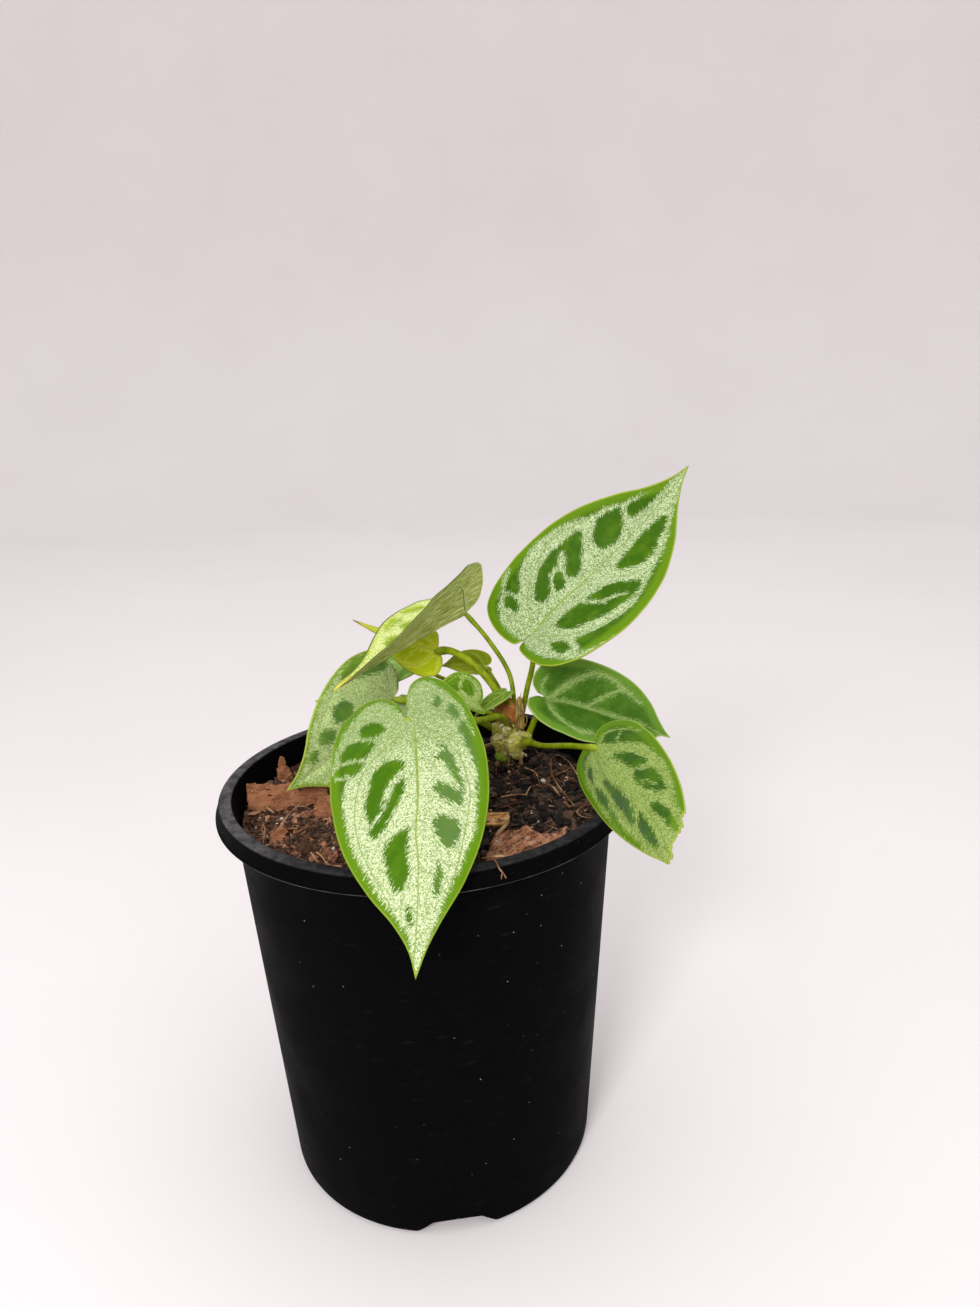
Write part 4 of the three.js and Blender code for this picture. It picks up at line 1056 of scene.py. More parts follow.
# %% Silver bands of the front blade
BANDS["front"] = {
    "midrib": [(-1.5, 3), (-1, 10.5), (-0.5, 18), (0, 25), (0.5, 31.5), (1.5, 39.5), (1, 47), (1, 54),
               (1, 61), (1, 66), (1, 71), (1, 76), (0.5, 81.5)],
    "basal_near": [(2.5, 4.5), (7.5, 7.5), (12, 10), (16, 14.5), (18.5, 21), (19.5, 28), (19, 36),
                   (16.5, 44.5), (13, 51.5), (9.5, 58.5), (6.5, 64.5), (4, 70)],
    "lobe_near": [(1, 1), (4.5, -5), (9, -7.5), (13.5, -7.5), (17, -4.5), (20.5, -0.5), (23, 4), (24, 8),
                  (25, 13), (26, 18.5)],
    "lobe_near_1": [(6.5, 5.5), (12, 3), (18.5, -1)],
    "lobe_near_2": [(13.5, 10.5, 0.9), (18, 8.5, 0.6), (22.5, 7.5, 0.8)],
    "lobe_near_3": [(20, 14.5, 0.7), (25, 12.5, 0.6)],
    "fork_near": [(3, 18.5, 1), (6, 20.5, 0.8), (8, 22.5, 0.8), (10, 26, 0.7), (11, 29.5, 0.5),
                  (12.5, 32.5, 0.5), (15, 34.5, 0.6)],
    "lateral_near_2": [(3.5, 35), (7.5, 37.5), (11, 38.5), (16, 40.5)],
    "lateral_near_3": [(2, 54.5), (4, 58), (7, 60.5)],
    "basal_far": [(-5, 4), (-8.5, 7.5), (-11, 11.5), (-13.5, 17), (-14.5, 23), (-15, 29.5), (-14, 35.5),
                  (-12.5, 41.5), (-11, 47.5), (-9.5, 52.5), (-7.5, 58), (-6, 63), (-4, 67.5), (-2, 71.5)],
    "lobe_far": [(-3.5, 1.5), (-5, -5.5), (-7, -11), (-11, -11), (-14.5, -6), (-16.5, 0), (-18, 5),
                 (-19, 11), (-19, 15)],
    "lobe_far_1": [(-7.5, 2.5), (-11.5, 5), (-13.5, 10)],
    "lobe_far_2": [(-10.5, -5), (-12, 0), (-13, 6)],
    "fork_far": [(-4, 16, 1), (-7.5, 20, 0.8), (-9.5, 24, 0.6), (-11.5, 28, 0.5)],
    "lateral_far_2": [(-1.5, 30), (-5.5, 33), (-9, 35.5), (-12.5, 36.5)],
    "lateral_far_3": [(-1, 45.5), (-5, 47.5), (-9.5, 49.5)],
    "lateral_far_4": [(-1, 59.5), (-4.5, 61.5)],
}

# %% Silver bands of the two right blades
BANDS["right_lower"] = {
    "midrib": [(0.5, 0.5), (0.5, 8.5), (-0.5, 16.5), (-1, 24), (-1, 31.5), (-1, 38), (-0.5, 44), (1, 49)],
    "basal_left": [(0, -0.5), (-4.5, 3.5), (-8.5, 8.5), (-11, 14), (-12, 20.5), (-12, 25.5), (-11, 30.5),
                   (-9.5, 35.5), (-8, 39.5), (-7, 43.5)],
    "lateral_left_1": [(-0.5, 11.5), (-4, 17), (-8, 19.5), (-11, 20.5)],
    "lateral_left_2": [(-1.5, 28), (-5, 30.5), (-8.5, 33), (-9.5, 35)],
    "basal_right": [(1.5, -1), (3, 6), (5, 10.5), (6, 16.5), (6, 22.5), (6, 28.5), (6, 34.5), (5.5, 40),
                    (4, 45.5), (3.5, 49)],
    "lateral_right": [(0.5, 26.5), (1, 31), (3, 34), (5, 36.5)],
    "lobe_right": [(1.5, -3), (5, -2.5), (8, 1.5), (9.5, 7.5), (10, 13.5), (10, 19.5)],
    "lobe_left": [(-2, -1.5, 0.6), (-5.5, -4, 0.5), (-10.5, -1, 0.4), (-14.5, 4.5, 0.3)],
    "lobe_left_1": [(-6.5, 3.5, 0.5), (-8, 1, 0.4), (-10, -1, 0.3)],
    "loop_left": [(-5, 24.5, 0.3), (-6.5, 25, 0.3), (-7.5, 27, 0.3), (-8.5, 28.5, 0.2)],
}
BANDS["right_middle"] = {
    "midrib": [(1.5, 0, 1.2), (-0.5, 8, 1), (-0.5, 15, 1), (0, 22, 1.2), (0.5, 29, 1.6), (0, 36.5, 0.9),
               (0, 44, 0.9), (1.5, 51, 1.1), (3, 56, 0.8)],
    "basal_left": [(0, 0.5, 1), (-3, 2.5, 1.2), (-6.5, 5, 1.4), (-10.5, 9, 1.2), (-13.5, 13, 1),
                   (-14.5, 18, 0.8), (-14, 24, 0.6), (-11.5, 30, 0.6), (-10, 34.5, 0.6), (-8, 39.5, 0.4)],
    "lateral_left_1": [(-0.5, 17.5, 0.8), (-4.5, 21, 0.8), (-8, 25, 0.8), (-11.5, 29.5, 0.8)],
    "lobe_left": [(0, -1, 0.8), (-2.5, -3.5, 0.6), (-5.5, -4.5, 0.6), (-8, -4, 0.4)],
    "basal_right": [(3.5, -0.5, 1.1), (8.5, 0, 1.3), (12, 2.5, 1.2), (14.5, 6.5, 1), (15.5, 11, 1),
                    (15, 15, 0.7)],
}

# %% Silver bands of the folded blade
BANDS["left_folded"] = {
    "midrib": [(0, 0), (0.5, 18), (0.5, 36), (0.5, 52), (0, 64), (0, 71)],
    "basal_left": [(-2, 1), (-13, 6), (-18.5, 15), (-19, 26), (-15.5, 37), (-8, 50)],
    "basal_right": [(1, 0.5), (8, 5), (11.5, 13), (12, 23), (10.5, 33), (6, 47)],
    "lateral_right_1": [(0, 6), (5, 8), (10, 11)],
    "lateral_right_2": [(0, 14), (5, 18), (10, 23)],
    "lateral_right_3": [(0, 26), (5, 31), (9, 37)],
    "lobe_right": [(1, -1), (6, -4), (11, -2), (14, 3)],
}

# %% [markdown]
# On six blades the silver runs together into one broad field, so there it is truer to draw the
# field's outline and take the dark islands out of it. Both are closed lines through a few points.
# The thin silver lines that cross an island, or run close to the margin, are laid back over it.

# %% Field of the front blade
FIELDS = {}
FIELDS["front"] = {
    "outline": [(0, -2), (3, -8), (7, -13), (12, -13.5), (17, -9.5), (20.5, -5.5), (23.5, 0), (25.5, 5),
                (26, 10.5), (21.5, 14), (22.5, 19), (23, 26), (22, 32), (21, 38), (18.5, 44.5),
                (14.5, 52.5), (10.5, 59), (6, 64.5), (3, 69.5), (1.5, 76), (0.5, 79.5), (-1, 76),
                (-2.5, 71), (-4.5, 65), (-7, 59.5), (-9.5, 54.5), (-12, 49), (-14.5, 43.5), (-16, 37.5),
                (-17, 31), (-17.5, 24), (-17, 17), (-16.5, 11.5), (-19, 10), (-18.5, 5), (-17.5, -2),
                (-15.5, -8), (-12, -14), (-8, -17.5), (-3.5, -14.5), (-1, -8)],
    "islands": [
        [(15.5, -2), (13.5, -5.2), (9, -3.6), (7.2, -0.5), (9.2, 1.6), (13, 1)],
        [(24, 5), (21.5, 1.4), (17.5, 0.6), (12.6, 3), (12, 6), (15.5, 9), (20.5, 7.6)],
        [(26, 11.5), (24.5, 8.3), (20.5, 7.4), (16, 9.5), (16.5, 12.5), (19, 14.5), (24, 14.5)],
        [(16, 26), (14.5, 20.5), (12.5, 16.5), (8.5, 13.5), (4, 15), (3, 18), (6, 21), (10, 24.5),
         (10, 28.5), (12, 31.5), (14.5, 34), (16, 30)],
        [(3.5, 22), (4, 26), (7, 31.5), (10, 36), (13, 39), (15, 37), (13, 33.5), (10, 30), (8, 26),
         (6, 22.5)],
        [(3.5, 38.5), (4, 45), (3.5, 51), (5, 55.5), (7.5, 56.5), (9, 52), (10.5, 47), (10.5, 43), (8, 40)],
        [(-7.5, 10.5), (-9.5, 12), (-11.5, 17), (-13, 24), (-13, 31), (-11.5, 34.5), (-9.5, 33), (-6, 30),
         (-4.5, 27.5), (-6, 25.5), (-9, 27), (-11.5, 28), (-10.5, 23.5), (-8.5, 18.5), (-5.5, 17),
         (-7.5, 15.5), (-9, 14)],
        [(-3.5, 38), (-6, 36), (-9, 37.5), (-11, 40), (-10.5, 44), (-7.5, 46.5), (-5, 43.5)],
        [(-4.5, 50), (-6, 53), (-5, 57), (-3.5, 59.5), (-3.5, 54)],
        [(4, 60.5), (2.5, 62.5), (2.5, 66), (3.5, 64.5)],
        [(-14.5, 6.5), (-16.5, 3.5), (-18.5, 7.5), (-19, 14.5), (-16, 14.5), (-15.5, 10.5)],
        [(-12.5, -0.5), (-14.5, -5), (-16.5, -1), (-15, 2.5)],
        [(-9, -5), (-11, -9), (-12, -5.5), (-10, -3.5)],
    ],
    "lines": ["fork_near", "lobe_near_2", "lobe_near_3", "fork_far"],
}

# %% Field of the upper right blade
FIELDS["upper_right"] = {
    "outline": [(-1.5, -3.5), (-7, -5.5), (-13.5, -4.5), (-19, -0.5), (-20.5, 3), (-16.5, 6.5), (-18, 10),
                (-21.5, 13.5), (-23.5, 18.5), (-24.5, 25), (-23.5, 31), (-21.5, 38), (-18.5, 44),
                (-15.5, 48), (-14, 53.5), (-10.5, 58.5), (-7, 65.5), (-3.5, 70.5), (-1.5, 77), (0, 83.5),
                (2, 78.5), (5, 71), (8, 65), (12, 58.5), (15, 52), (17, 46), (19.5, 40), (21.5, 34.5),
                (22, 29), (21.5, 22), (19.5, 13), (18.5, 9), (23, 8), (23.5, 3.5), (20.5, 0), (14.5, -2.5),
                (7, -5)],
    "islands": [
        [(-17, 0), (-19, 2), (-17.5, 4.5), (-14, 5.5), (-11, 2.5), (-13.5, 1)],
        [(-10, 10.5), (-15.5, 17.5), (-18, 25), (-17, 31.5), (-16.5, 38), (-15, 41), (-10, 36.5), (-5, 30),
         (-4.5, 26.5), (-8, 25.5), (-13.5, 30.5), (-15, 29.5), (-12.5, 25), (-12, 21), (-6.5, 15.5),
         (-6, 11.5)],
        [(-6.5, 18), (-10.5, 21.5), (-10, 24.5), (-6, 23), (-4.5, 20)],
        [(-13, 50), (-10, 56.5), (-6, 54.5), (-3, 50.5), (-2.5, 45.5), (-5, 41), (-9, 41.5), (-12.5, 46.5)],
        [(-8, 59), (-6.5, 65), (-5.5, 70), (-3.5, 76), (-1.6, 76), (-2, 68), (-3.6, 57.5)],
        [(6.5, 65), (9.5, 58), (12, 51), (11.5, 45.5), (8, 40.5), (4.5, 39.5), (4, 47), (3.5, 57),
         (4.5, 63.5)],
        [(6.5, 25), (8.5, 32.5), (12, 37), (16.5, 41), (19, 37), (19, 30), (17.5, 22), (14, 12.5), (10, 9),
         (6, 8.5), (5, 15)],
        [(14.5, 1), (13.5, 3), (17, 6.5), (20.5, 5.5), (20.5, 2)],
    ],
    "lines": ["lobe_left", "lobe_left_1", "lobe_right", "lobe_right_1", "lateral_right_2"],
}

# %% Field of the lower right blade
FIELDS["right_lower"] = {
    "outline": [(0.5, -2), (-2, -0.5), (-5, 2.5), (-8.5, 6), (-11, 9), (-13, 12), (-14, 19.5), (-14, 24),
                (-13, 28.5), (-11.5, 32.5), (-10, 36.5), (-9, 40.5), (-8.5, 45), (-3, 50), (2.5, 53),
                (4.5, 49), (7, 44), (9, 38), (10, 33), (11, 27), (11.5, 19.5), (11, 13.5), (10.5, 7),
                (9, 2), (6, -1.5), (3, -2)],
    "islands": [
        [(-2.5, 9), (-4.5, 9), (-6.5, 10.5), (-8.5, 13), (-9.5, 15.5), (-10.5, 17.5), (-9.5, 19),
         (-7.5, 19), (-5.5, 18), (-4.5, 16), (-4, 13.5), (-3, 11)],
        [(-4.5, 20), (-6, 19.5), (-8, 21), (-10, 22), (-10.5, 24), (-10.5, 29.5), (-10, 31.5), (-8, 31.5),
         (-6.5, 30), (-5, 28), (-4, 25.5), (-3.5, 23)],
        [(-3, 33.5), (-4.5, 33.5), (-6, 35.5), (-6.5, 39.5), (-6, 44), (-5, 45.5), (-4, 44.5), (-3.5, 39),
         (-2.5, 36)],
        [(5.5, 13.5), (3.5, 14), (3, 17.5), (2, 20.5), (1.5, 26.5), (2.5, 31.5), (4, 33.5), (5.5, 33.5),
         (5.5, 27.5), (6, 24), (5.5, 18)],
        [(1, 33), (0.5, 37), (1, 42.5), (1.5, 44.5), (3, 45.5), (4, 44), (4.5, 38), (2.5, 34)],
        [(9, 12.5), (7.5, 13.5), (7, 19.5), (8, 22), (9.5, 23), (10.5, 16)],
        [(10, 24), (8, 24.5), (8.5, 31.5), (7, 39), (7, 42), (8.5, 40), (9.5, 36.5), (10.5, 31)],
        [(7, 2.5), (5.5, 4), (6.5, 7), (8.5, 9.5), (9, 5)],
    ],
    "lines": ["lobe_left", "lobe_left_1", "loop_left"],
}

# %% Fields that follow the margin
FIELDS["left_folded"] = {
    "margin": 0.7,
    "islands": [
        [(14.5, 23), (14.5, 17), (13, 12), (11, 12), (11.5, 17), (12.5, 22)],
        [(11, 26), (13, 30), (11.5, 35), (9, 38), (9.5, 32)],
        [(5, 20), (8, 24), (8.5, 30), (6.5, 30), (4.5, 25)],
        [(3.5, 34), (6, 37), (5.5, 42), (3, 42)],
        [(-3, 22), (-8, 25), (-12, 31), (-9, 34), (-5, 31)],
        [(-8, 8), (-14, 13), (-15, 20), (-10, 18), (-7, 13)],
    ],
}
FIELDS["small_round"] = {
    "margin": 1.2,
    "islands": [
        [(-1.2, 8), (-3.2, 11), (-2.4, 15), (-1, 15), (-0.9, 11)],
        [(1.8, 9.4), (4.5, 9.8), (8, 8.6), (8, 12), (5.5, 15.5), (3, 17.6), (1.6, 14)],
        [(2.2, 3.5), (4.8, 1.4), (8.2, 3), (8.6, 6.6), (5.5, 8), (2.4, 7.8)],
    ],
}
FIELDS["left_lower"] = {
    "margin": 1.3,
    "islands": [
        [(22, 16), (22.5, 6), (19.5, -1), (15.5, -6), (11.5, -8), (11.5, -1), (14, 6), (17, 14),
         (18.5, 19)],
        [(9.5, 31), (13, 28.5), (13.5, 24), (10.5, 20.5), (7.5, 22), (6.5, 26), (7.5, 29.5)],
        [(7.5, 40), (9.5, 37.5), (8, 33.5), (5, 33), (4, 36.5), (5.5, 39.5)],
        [(3.5, 48), (6, 45), (5, 42), (2.5, 44)],
        [(-9, 26), (-13.5, 25), (-14, 21), (-10, 21)],
        [(-5.5, 36), (-10, 36), (-10, 32.5), (-6, 33)],
    ],
    "lines": ["top_lines"],
}
OVERLAYS = {"left_lower": {
    "top_lines": [(10.5, 5.5, 0.6), (13.5, 11, 0.8), (16.5, 17.5, 0.8), (19, 23, 0.7)]}}


# %% Usual bands, for a blade without its own
def usual_bands(blade):
    """Bands in shares of a blade's own sizes."""
    length = blade["length"]
    bands = {"midrib": [(0, share * length, length * width) for share, width in
                        ((0, 0.04), (0.2, 0.048), (0.45, 0.042), (0.7, 0.03), (0.88, 0.016), (1, 0.004))]}
    for index, sign in ((0, -1), (1, 1)):
        half, lobe = blade["half"][index] * sign, blade["lobe"][index]
        bands["basal%d" % index] = [
            (across * half, along * length, width * length) for across, along, width in
            ((0.04, 0, 0.03), (0.5, 0.12, 0.034), (0.72, 0.22, 0.03), (0.77, 0.36, 0.026), (0.7, 0.48, 0.022),
             (0.52, 0.6, 0.02), (0.28, 0.74, 0.016), (0.1, 0.88, 0.01))]
        bands["lobe%d" % index] = [
            (across * half, along * lobe, width * length) for across, along, width in
            ((0.05, 0, 0.03), (0.35, -0.45, 0.024), (0.64, -0.3, 0.016), (0.86, 0.2, 0.01),
             (0.93, 0.7, 0.006))]
        for number, (start, reach) in enumerate(((0.2, 0.7), (0.36, 0.66), (0.5, 0.5), (0.63, 0.34))):
            bands["lateral%d_%d" % (index, number)] = [
                (share * reach * half, (start + 0.16 * share) * length, 0.014 * length)
                for share in (0, 0.5, 1)]
    return bands


# %% Distances and insides on the flat blade
def far_from(x, y, line, widths=0.0):
    """How far points lie inside a band round a line: its half width less the distance."""
    best = np.full(len(x), -99.0)
    for (ax, ay), (bx, by), wa, wb in zip(line, line[1:], *((widths[:-1], widths[1:])
                                          if np.ndim(widths) else ([0] * len(line),) * 2)):
        dx, dy = bx - ax, by - ay
        t = np.clip(((x - ax) * dx + (y - ay) * dy) / max(dx * dx + dy * dy, 1e-9), 0, 1)
        away = np.hypot(x - ax - t * dx, y - ay - t * dy)
        best = np.maximum(best, wa + (wb - wa) * t - away)
    return best


def in_bands(x, y, bands):
    best = np.full(len(x), -99.0)
    for band in bands:
        line = smooth_flat(band, 5)
        best = np.maximum(best, far_from(x, y, line[:, :2], line[:, 2]))
    return best


def closed_line(points, steps):
    """The smooth closed line through the points."""
    line = smooth_flat(points[-3:] + points + points[:3], steps)
    return line[3 * steps:(3 + len(points)) * steps + 1]


def inside_by(x, y, line):
    """How far points lie inside a closed line, and less than nought where they lie outside."""
    crossings = np.zeros(len(x), int)
    for (ax, ay), (bx, by) in zip(line, line[1:]):
        if ay != by:
            crossings += ((ay > y) != (by > y)) & (x < ax + (y - ay) * (bx - ax) / (by - ay))
    return np.where(crossings % 2, 1, -1) * -far_from(x, y, line)


def in_field(x, y, edge, field, bands):
    """How far points lie inside a silver field, outside its dark islands, or in its thin lines."""
    if "outline" in field:
        silver = inside_by(x, y, closed_line(field["outline"], 5))
    else:
        silver = edge - field["margin"]
    for island in field["islands"]:
        silver = np.minimum(silver, -inside_by(x, y, closed_line(island, 5)))
    lines = [bands[line] for line in field.get("lines", ())]
    return np.maximum(silver, in_bands(x, y, lines)) if lines else silver


# %% [markdown]
# ## Blade finish
# The silver is not paint but air under clear cells, so close up it is a fine glitter between
# near-white and pale green, with feathery edges. The finish reads numbers kept on each vertex: how
# deep the point lies in the silver, how far it is from the margin and from a main vein, and how
# far on it lies across the side veins. Noise in the blade's own flat coordinates frays the
# silver's edge and makes the glitter, so the pattern bends with the blade. Some blades also get
# painted light: a bluish painted sheen over one half, and painted glints on the green. The
# underside is paler, matt, and streaked along the veins.

# %% Upper blade finish
FLAT_UNIT = 0.01  # the flat blade's UV is millimetres divided by 100
JOINT_GREY = 26  # the silver greys from here, in mm along the blade, down to the stalk's joint


def upper_finish(name, light, dim, deep, margin, edge_line, vein, painted_sheen=None, fray=1.0, gloss=0.06,
                 soft=0.3, pebbles=0.16, painted_glints=0.0, greyed=0.0, tip=None):
    material, tree, flat = new_finish(name, "flat", Specular_IOR_Level=gloss)
    centred = add(tree, "VectorMath", {0: flat, 1: (0.5, 0.5, 0)}, operation="SUBTRACT")
    across, along = (math_of(tree, "DIVIDE", axis_of(tree, centred, axis), FLAT_UNIT) for axis in ("X", "Y"))
    silver, edge, ray, main_vein = (attribute(tree, n) for n in ("silver", "edge", "ray", "main_vein"))
    fine = grain(tree, flat, 0.4, 2, 0.7, FLAT_UNIT)
    feather = grain(tree, flat, 1.5, 3, 0.6, FLAT_UNIT)
    drift = grain(tree, flat, 6, 3, 0.55, FLAT_UNIT)
    away = add(tree, "Math", {0: across}, operation="ABSOLUTE")
    comb_place = add(tree, "CombineXYZ", {"X": ray, "Y": times(tree, away, 0.36),
                                          "Z": times(tree, across, 0.02)})
    comb = grain(tree, comb_place, 0.5, 2, 0.6, 1)
    frayed = plus(tree, silver, times(tree, math_of(tree, "SUBTRACT", comb, 0.5), 5.8 * fray))
    frayed = plus(tree, frayed, times(tree, math_of(tree, "SUBTRACT", fine, 0.5), 2.6 * fray))
    is_silver = step(tree, frayed, -soft, soft)
    cells = add(tree, "TexVoronoi", {"Vector": flat, "Scale": 1 / (0.29 * FLAT_UNIT)}, output="Color")
    glint = add(tree, "SeparateColor", {"Color": cells}, output="Red")
    shine = plus(tree, times(tree, glint, 0.85), times(tree, feather, 0.25))
    shine = plus(tree, shine, step(tree, along, JOINT_GREY, -2, 0.0, -greyed))
    silvery = layer(tree, dim, light, shine, 0.17, 0.9)
    dark = deep
    # Painted sheen: a bluish green laid over one half of the blade, from start to stop across it, stands in
    # for light glancing off the velvety cells.
    if painted_sheen:
        colour_there, start, stop = painted_sheen
        dark = layer(tree, deep, colour_there, across, start, stop)
    green = layer(tree, dark, margin, edge, 4.6, 2.2)
    green = layer(tree, green, margin, drift, 0.42, 0.66, 0.0, 0.4)
    green = layer(tree, green, dim, fine, 0.56, 0.72, 0.0, 0.1)
    # Painted glints: light specks on the green stand in for light reflected from tiny cells.
    if painted_glints:
        green = layer(tree, green, light, glint, 0.86, 0.96, 0.0, painted_glints)
    colour = mix(tree, is_silver, green, silvery)
    colour = layer(tree, colour, vein, main_vein, 0.36, 0.1, 0.0, 0.5)
    colour = layer(tree, colour, edge_line, edge, 0.6, 0.25)
    if tip:
        colour_there, start, stop = tip
        colour = layer(tree, colour, colour_there, along, start, stop)
    height = plus(tree, times(tree, fine, 0.8), feather)
    wear(tree, colour, step(tree, glint, 0, 1, 0.36, 0.56), height, pebbles)
    return material


# %% [markdown]
# The underside has no silver. Its side veins show as faint stripes, and they are drawn by a sine
# of the same number that tells how far on a point lies across the side veins. The folded blade
# shows streaks along its length instead.

# %% Lower blade finish
def lower_finish(name, pale, green, rib, streaks_along=False, tip=None):
    material, tree, flat = new_finish(name, "flat", Roughness=0.6, Specular_IOR_Level=0.08)
    near_vein, ray, edge = (attribute(tree, n) for n in ("vein", "ray", "edge"))
    soft = grain(tree, flat, 2.6, 4, 0.6, FLAT_UNIT)
    if streaks_along:
        streaks = grain(tree, flat, 0.5, 3, 0.6, FLAT_UNIT, stretch=(1, 0.05, 1))
        stripes = step(tree, streaks, 0.38, 0.62, -1.0, 1.0)
    else:
        swept = plus(tree, ray, times(tree, soft, 1.6))
        stripes = add(tree, "Math", {0: times(tree, swept, 2.6)}, operation="SINE")
    colour = layer(tree, green, pale, soft, 0.38, 0.62)
    colour = layer(tree, colour, rib, stripes, 0.0, 1.0, 0.0, 0.8 if streaks_along else 0.3)
    if streaks_along:
        colour = layer(tree, colour, (104, 124, 30), stripes, -0.2, -1.0, 0.0, 0.55)
    colour = layer(tree, colour, rib, near_vein, 1.2, 0.2, 0.0, 0.35)
    colour = layer(tree, colour, rib, edge, 0.6, 0.2, 0.0, 0.6)
    if tip:
        colour_there, start, stop = tip
        along = math_of(tree, "SUBTRACT", axis_of(tree, flat, "Y"), 0.5)
        colour = layer(tree, colour, colour_there, math_of(tree, "DIVIDE", along, FLAT_UNIT), start, stop)
    height = plus(tree, stripes, times(tree, soft, 1.5))
    wear(tree, colour, None, height, 0.08)
    return material


# %% Vein finish and the looks of each blade
vein_green, tree, rib_place = new_finish("vein_green", Roughness=0.5)
mottle = grain(tree, rib_place, 1.6, 3)
wear(tree, layer(tree, (116, 144, 46), (138, 164, 70), mottle, 0.35, 0.65), None, mottle, 0.08)
VEIN_LINE = (98, 124, 44)
# Some looks paint light: a bluish sheen over one half of the front and lower right blades, and light glints
# on the green of the middle right, small round and young blades.
LOOKS = {
    "upper_right": ("silver", ((196, 212, 166), (98, 124, 58), (54, 92, 6), (90, 127, 14),
                               (146, 162, 50), VEIN_LINE), dict(fray=0.95, greyed=0.06)),
    "front": ("silver", ((210, 220, 178), (122, 146, 80), (60, 100, 4), (88, 126, 12),
                         (128, 154, 42), VEIN_LINE),
              dict(painted_sheen=((84, 115, 54), -1, -7), soft=0.25, greyed=0.33)),
    "right_lower": ("silver", ((152, 170, 98), (96, 120, 48), (50, 84, 22), (84, 120, 18),
                               (146, 166, 58), (96, 118, 46)),
                    dict(painted_sheen=((66, 92, 52), 0, 4), fray=0.9, soft=0.35)),
    "left_lower": ("silver", ((202, 221, 154), (130, 156, 78), (80, 120, 48), (112, 146, 44),
                              (160, 176, 70), (152, 178, 98)), dict(soft=0.7)),
    "right_middle": ("deep", ((176, 200, 128), (120, 156, 66), (62, 108, 14), (98, 142, 36),
                              (164, 186, 100), (150, 172, 92)),
                     dict(fray=1.2, gloss=0.12, soft=1.2, pebbles=0.45, painted_glints=0.14)),
    "small_round": ("deep", ((184, 206, 126), (118, 150, 50), (80, 122, 4), (92, 134, 8),
                             (140, 170, 60), (160, 184, 96)), dict(painted_glints=0.2)),
    "small_narrow": ("deep", ((130, 156, 70), (92, 122, 32), (78, 108, 14), (98, 128, 24),
                              (150, 170, 80), (140, 160, 74)), {}),
    "left_young": ("young", ((210, 214, 70), (182, 194, 40), (164, 182, 14), (172, 188, 20),
                             (176, 172, 60), (190, 196, 66)),
                   dict(painted_glints=0.3, tip=((150, 88, 66), 31, 35))),
    "left_folded": ("pale", ((226, 232, 168), (178, 194, 98), (128, 156, 30), (154, 178, 38),
                             (104, 116, 50), (210, 224, 140)),
                    dict(soft=0.8, tip=((204, 196, 84), 62, 70))),
    "small_pale": ("pale", ((126, 140, 34), (110, 124, 14), (98, 114, 6), (108, 124, 12),
                            (136, 146, 44), (138, 148, 52)), {}),
    "far_left": ("pale", ((150, 178, 96), (116, 154, 62), (88, 132, 40), (104, 144, 40),
                          (140, 166, 70), (140, 166, 80)), {}),
}

# %% [markdown]
# ## Making a blade
# The fan is a plain grid from create_grid. Its vertices are first laid out flat as a heart, where
# the bands can be measured, then bent into place with a little puff between the veins and a soft
# wave along the margin. Solidify gives the blade its half millimetre and puts the second finish on
# its underside. The raised veins are fine tubes sunk into both faces.

# %% Fan and wavy margin of a blade
BLADE_THICKNESS = 0.46
RIB_STOPS = 0.7  # a rib ends this far inside the margin
RIB_ABOVE, RIB_BELOW = 0.21, 0.62  # the midrib's radius on the upper and the lower face
PUFF = {"silver": 0.5, "deep": 0.4, "young": 0.25, "pale": 0.3}
FAN_SIZES = ((70, 280, 80), (50, 200, 54), (0, 110, 26))  # longer than, steps round, rings
WAVE_HEIGHT, WAVE_SIZE, WAVE_FADE = 0.55, 11, 6
RAY_SLOPE, RAY_CURVE = 0.75, 0.02  # how side veins lean towards the tip


def make_fan(name, outline, rings):
    """A flat heart as a fan of faces from the stalk's joint, with its UV in flat millimetres."""
    count = len(outline) - 1
    bm = bmesh.new()
    bmesh.ops.create_grid(bm, x_segments=count, y_segments=rings, size=0.5)
    for v in bm.verts:
        around, share = round((v.co.x + 0.5) * count), v.co.y + 0.5
        v.co = Vector((*(outline[around] * share), 0)) * MM
    bmesh.ops.remove_doubles(bm, verts=bm.verts[:], dist=1e-7)
    bmesh.ops.recalc_face_normals(bm, faces=bm.faces[:])
    if sum(f.normal.z for f in bm.faces) < 0:
        bmesh.ops.reverse_faces(bm, faces=bm.faces[:])
    flat_uv = bm.loops.layers.uv.new("flat")
    for face in bm.faces:
        for loop in face.loops:
            loop[flat_uv].uv = loop.vert.co.xy / MM * FLAT_UNIT + Vector((0.5, 0.5))
    return mesh_of(bm, name)


def margin_wave(blade, x, y, edge, seed):
    """A soft wave that fades away from the margin, in mm."""
    wave = np.array([rough((px, py, 0), WAVE_SIZE, seed, 2) for px, py in zip(x, y)])
    return WAVE_HEIGHT * wave * np.clip(1 - edge / WAVE_FADE, 0, 1) * min(1, blade["length"] / 50)


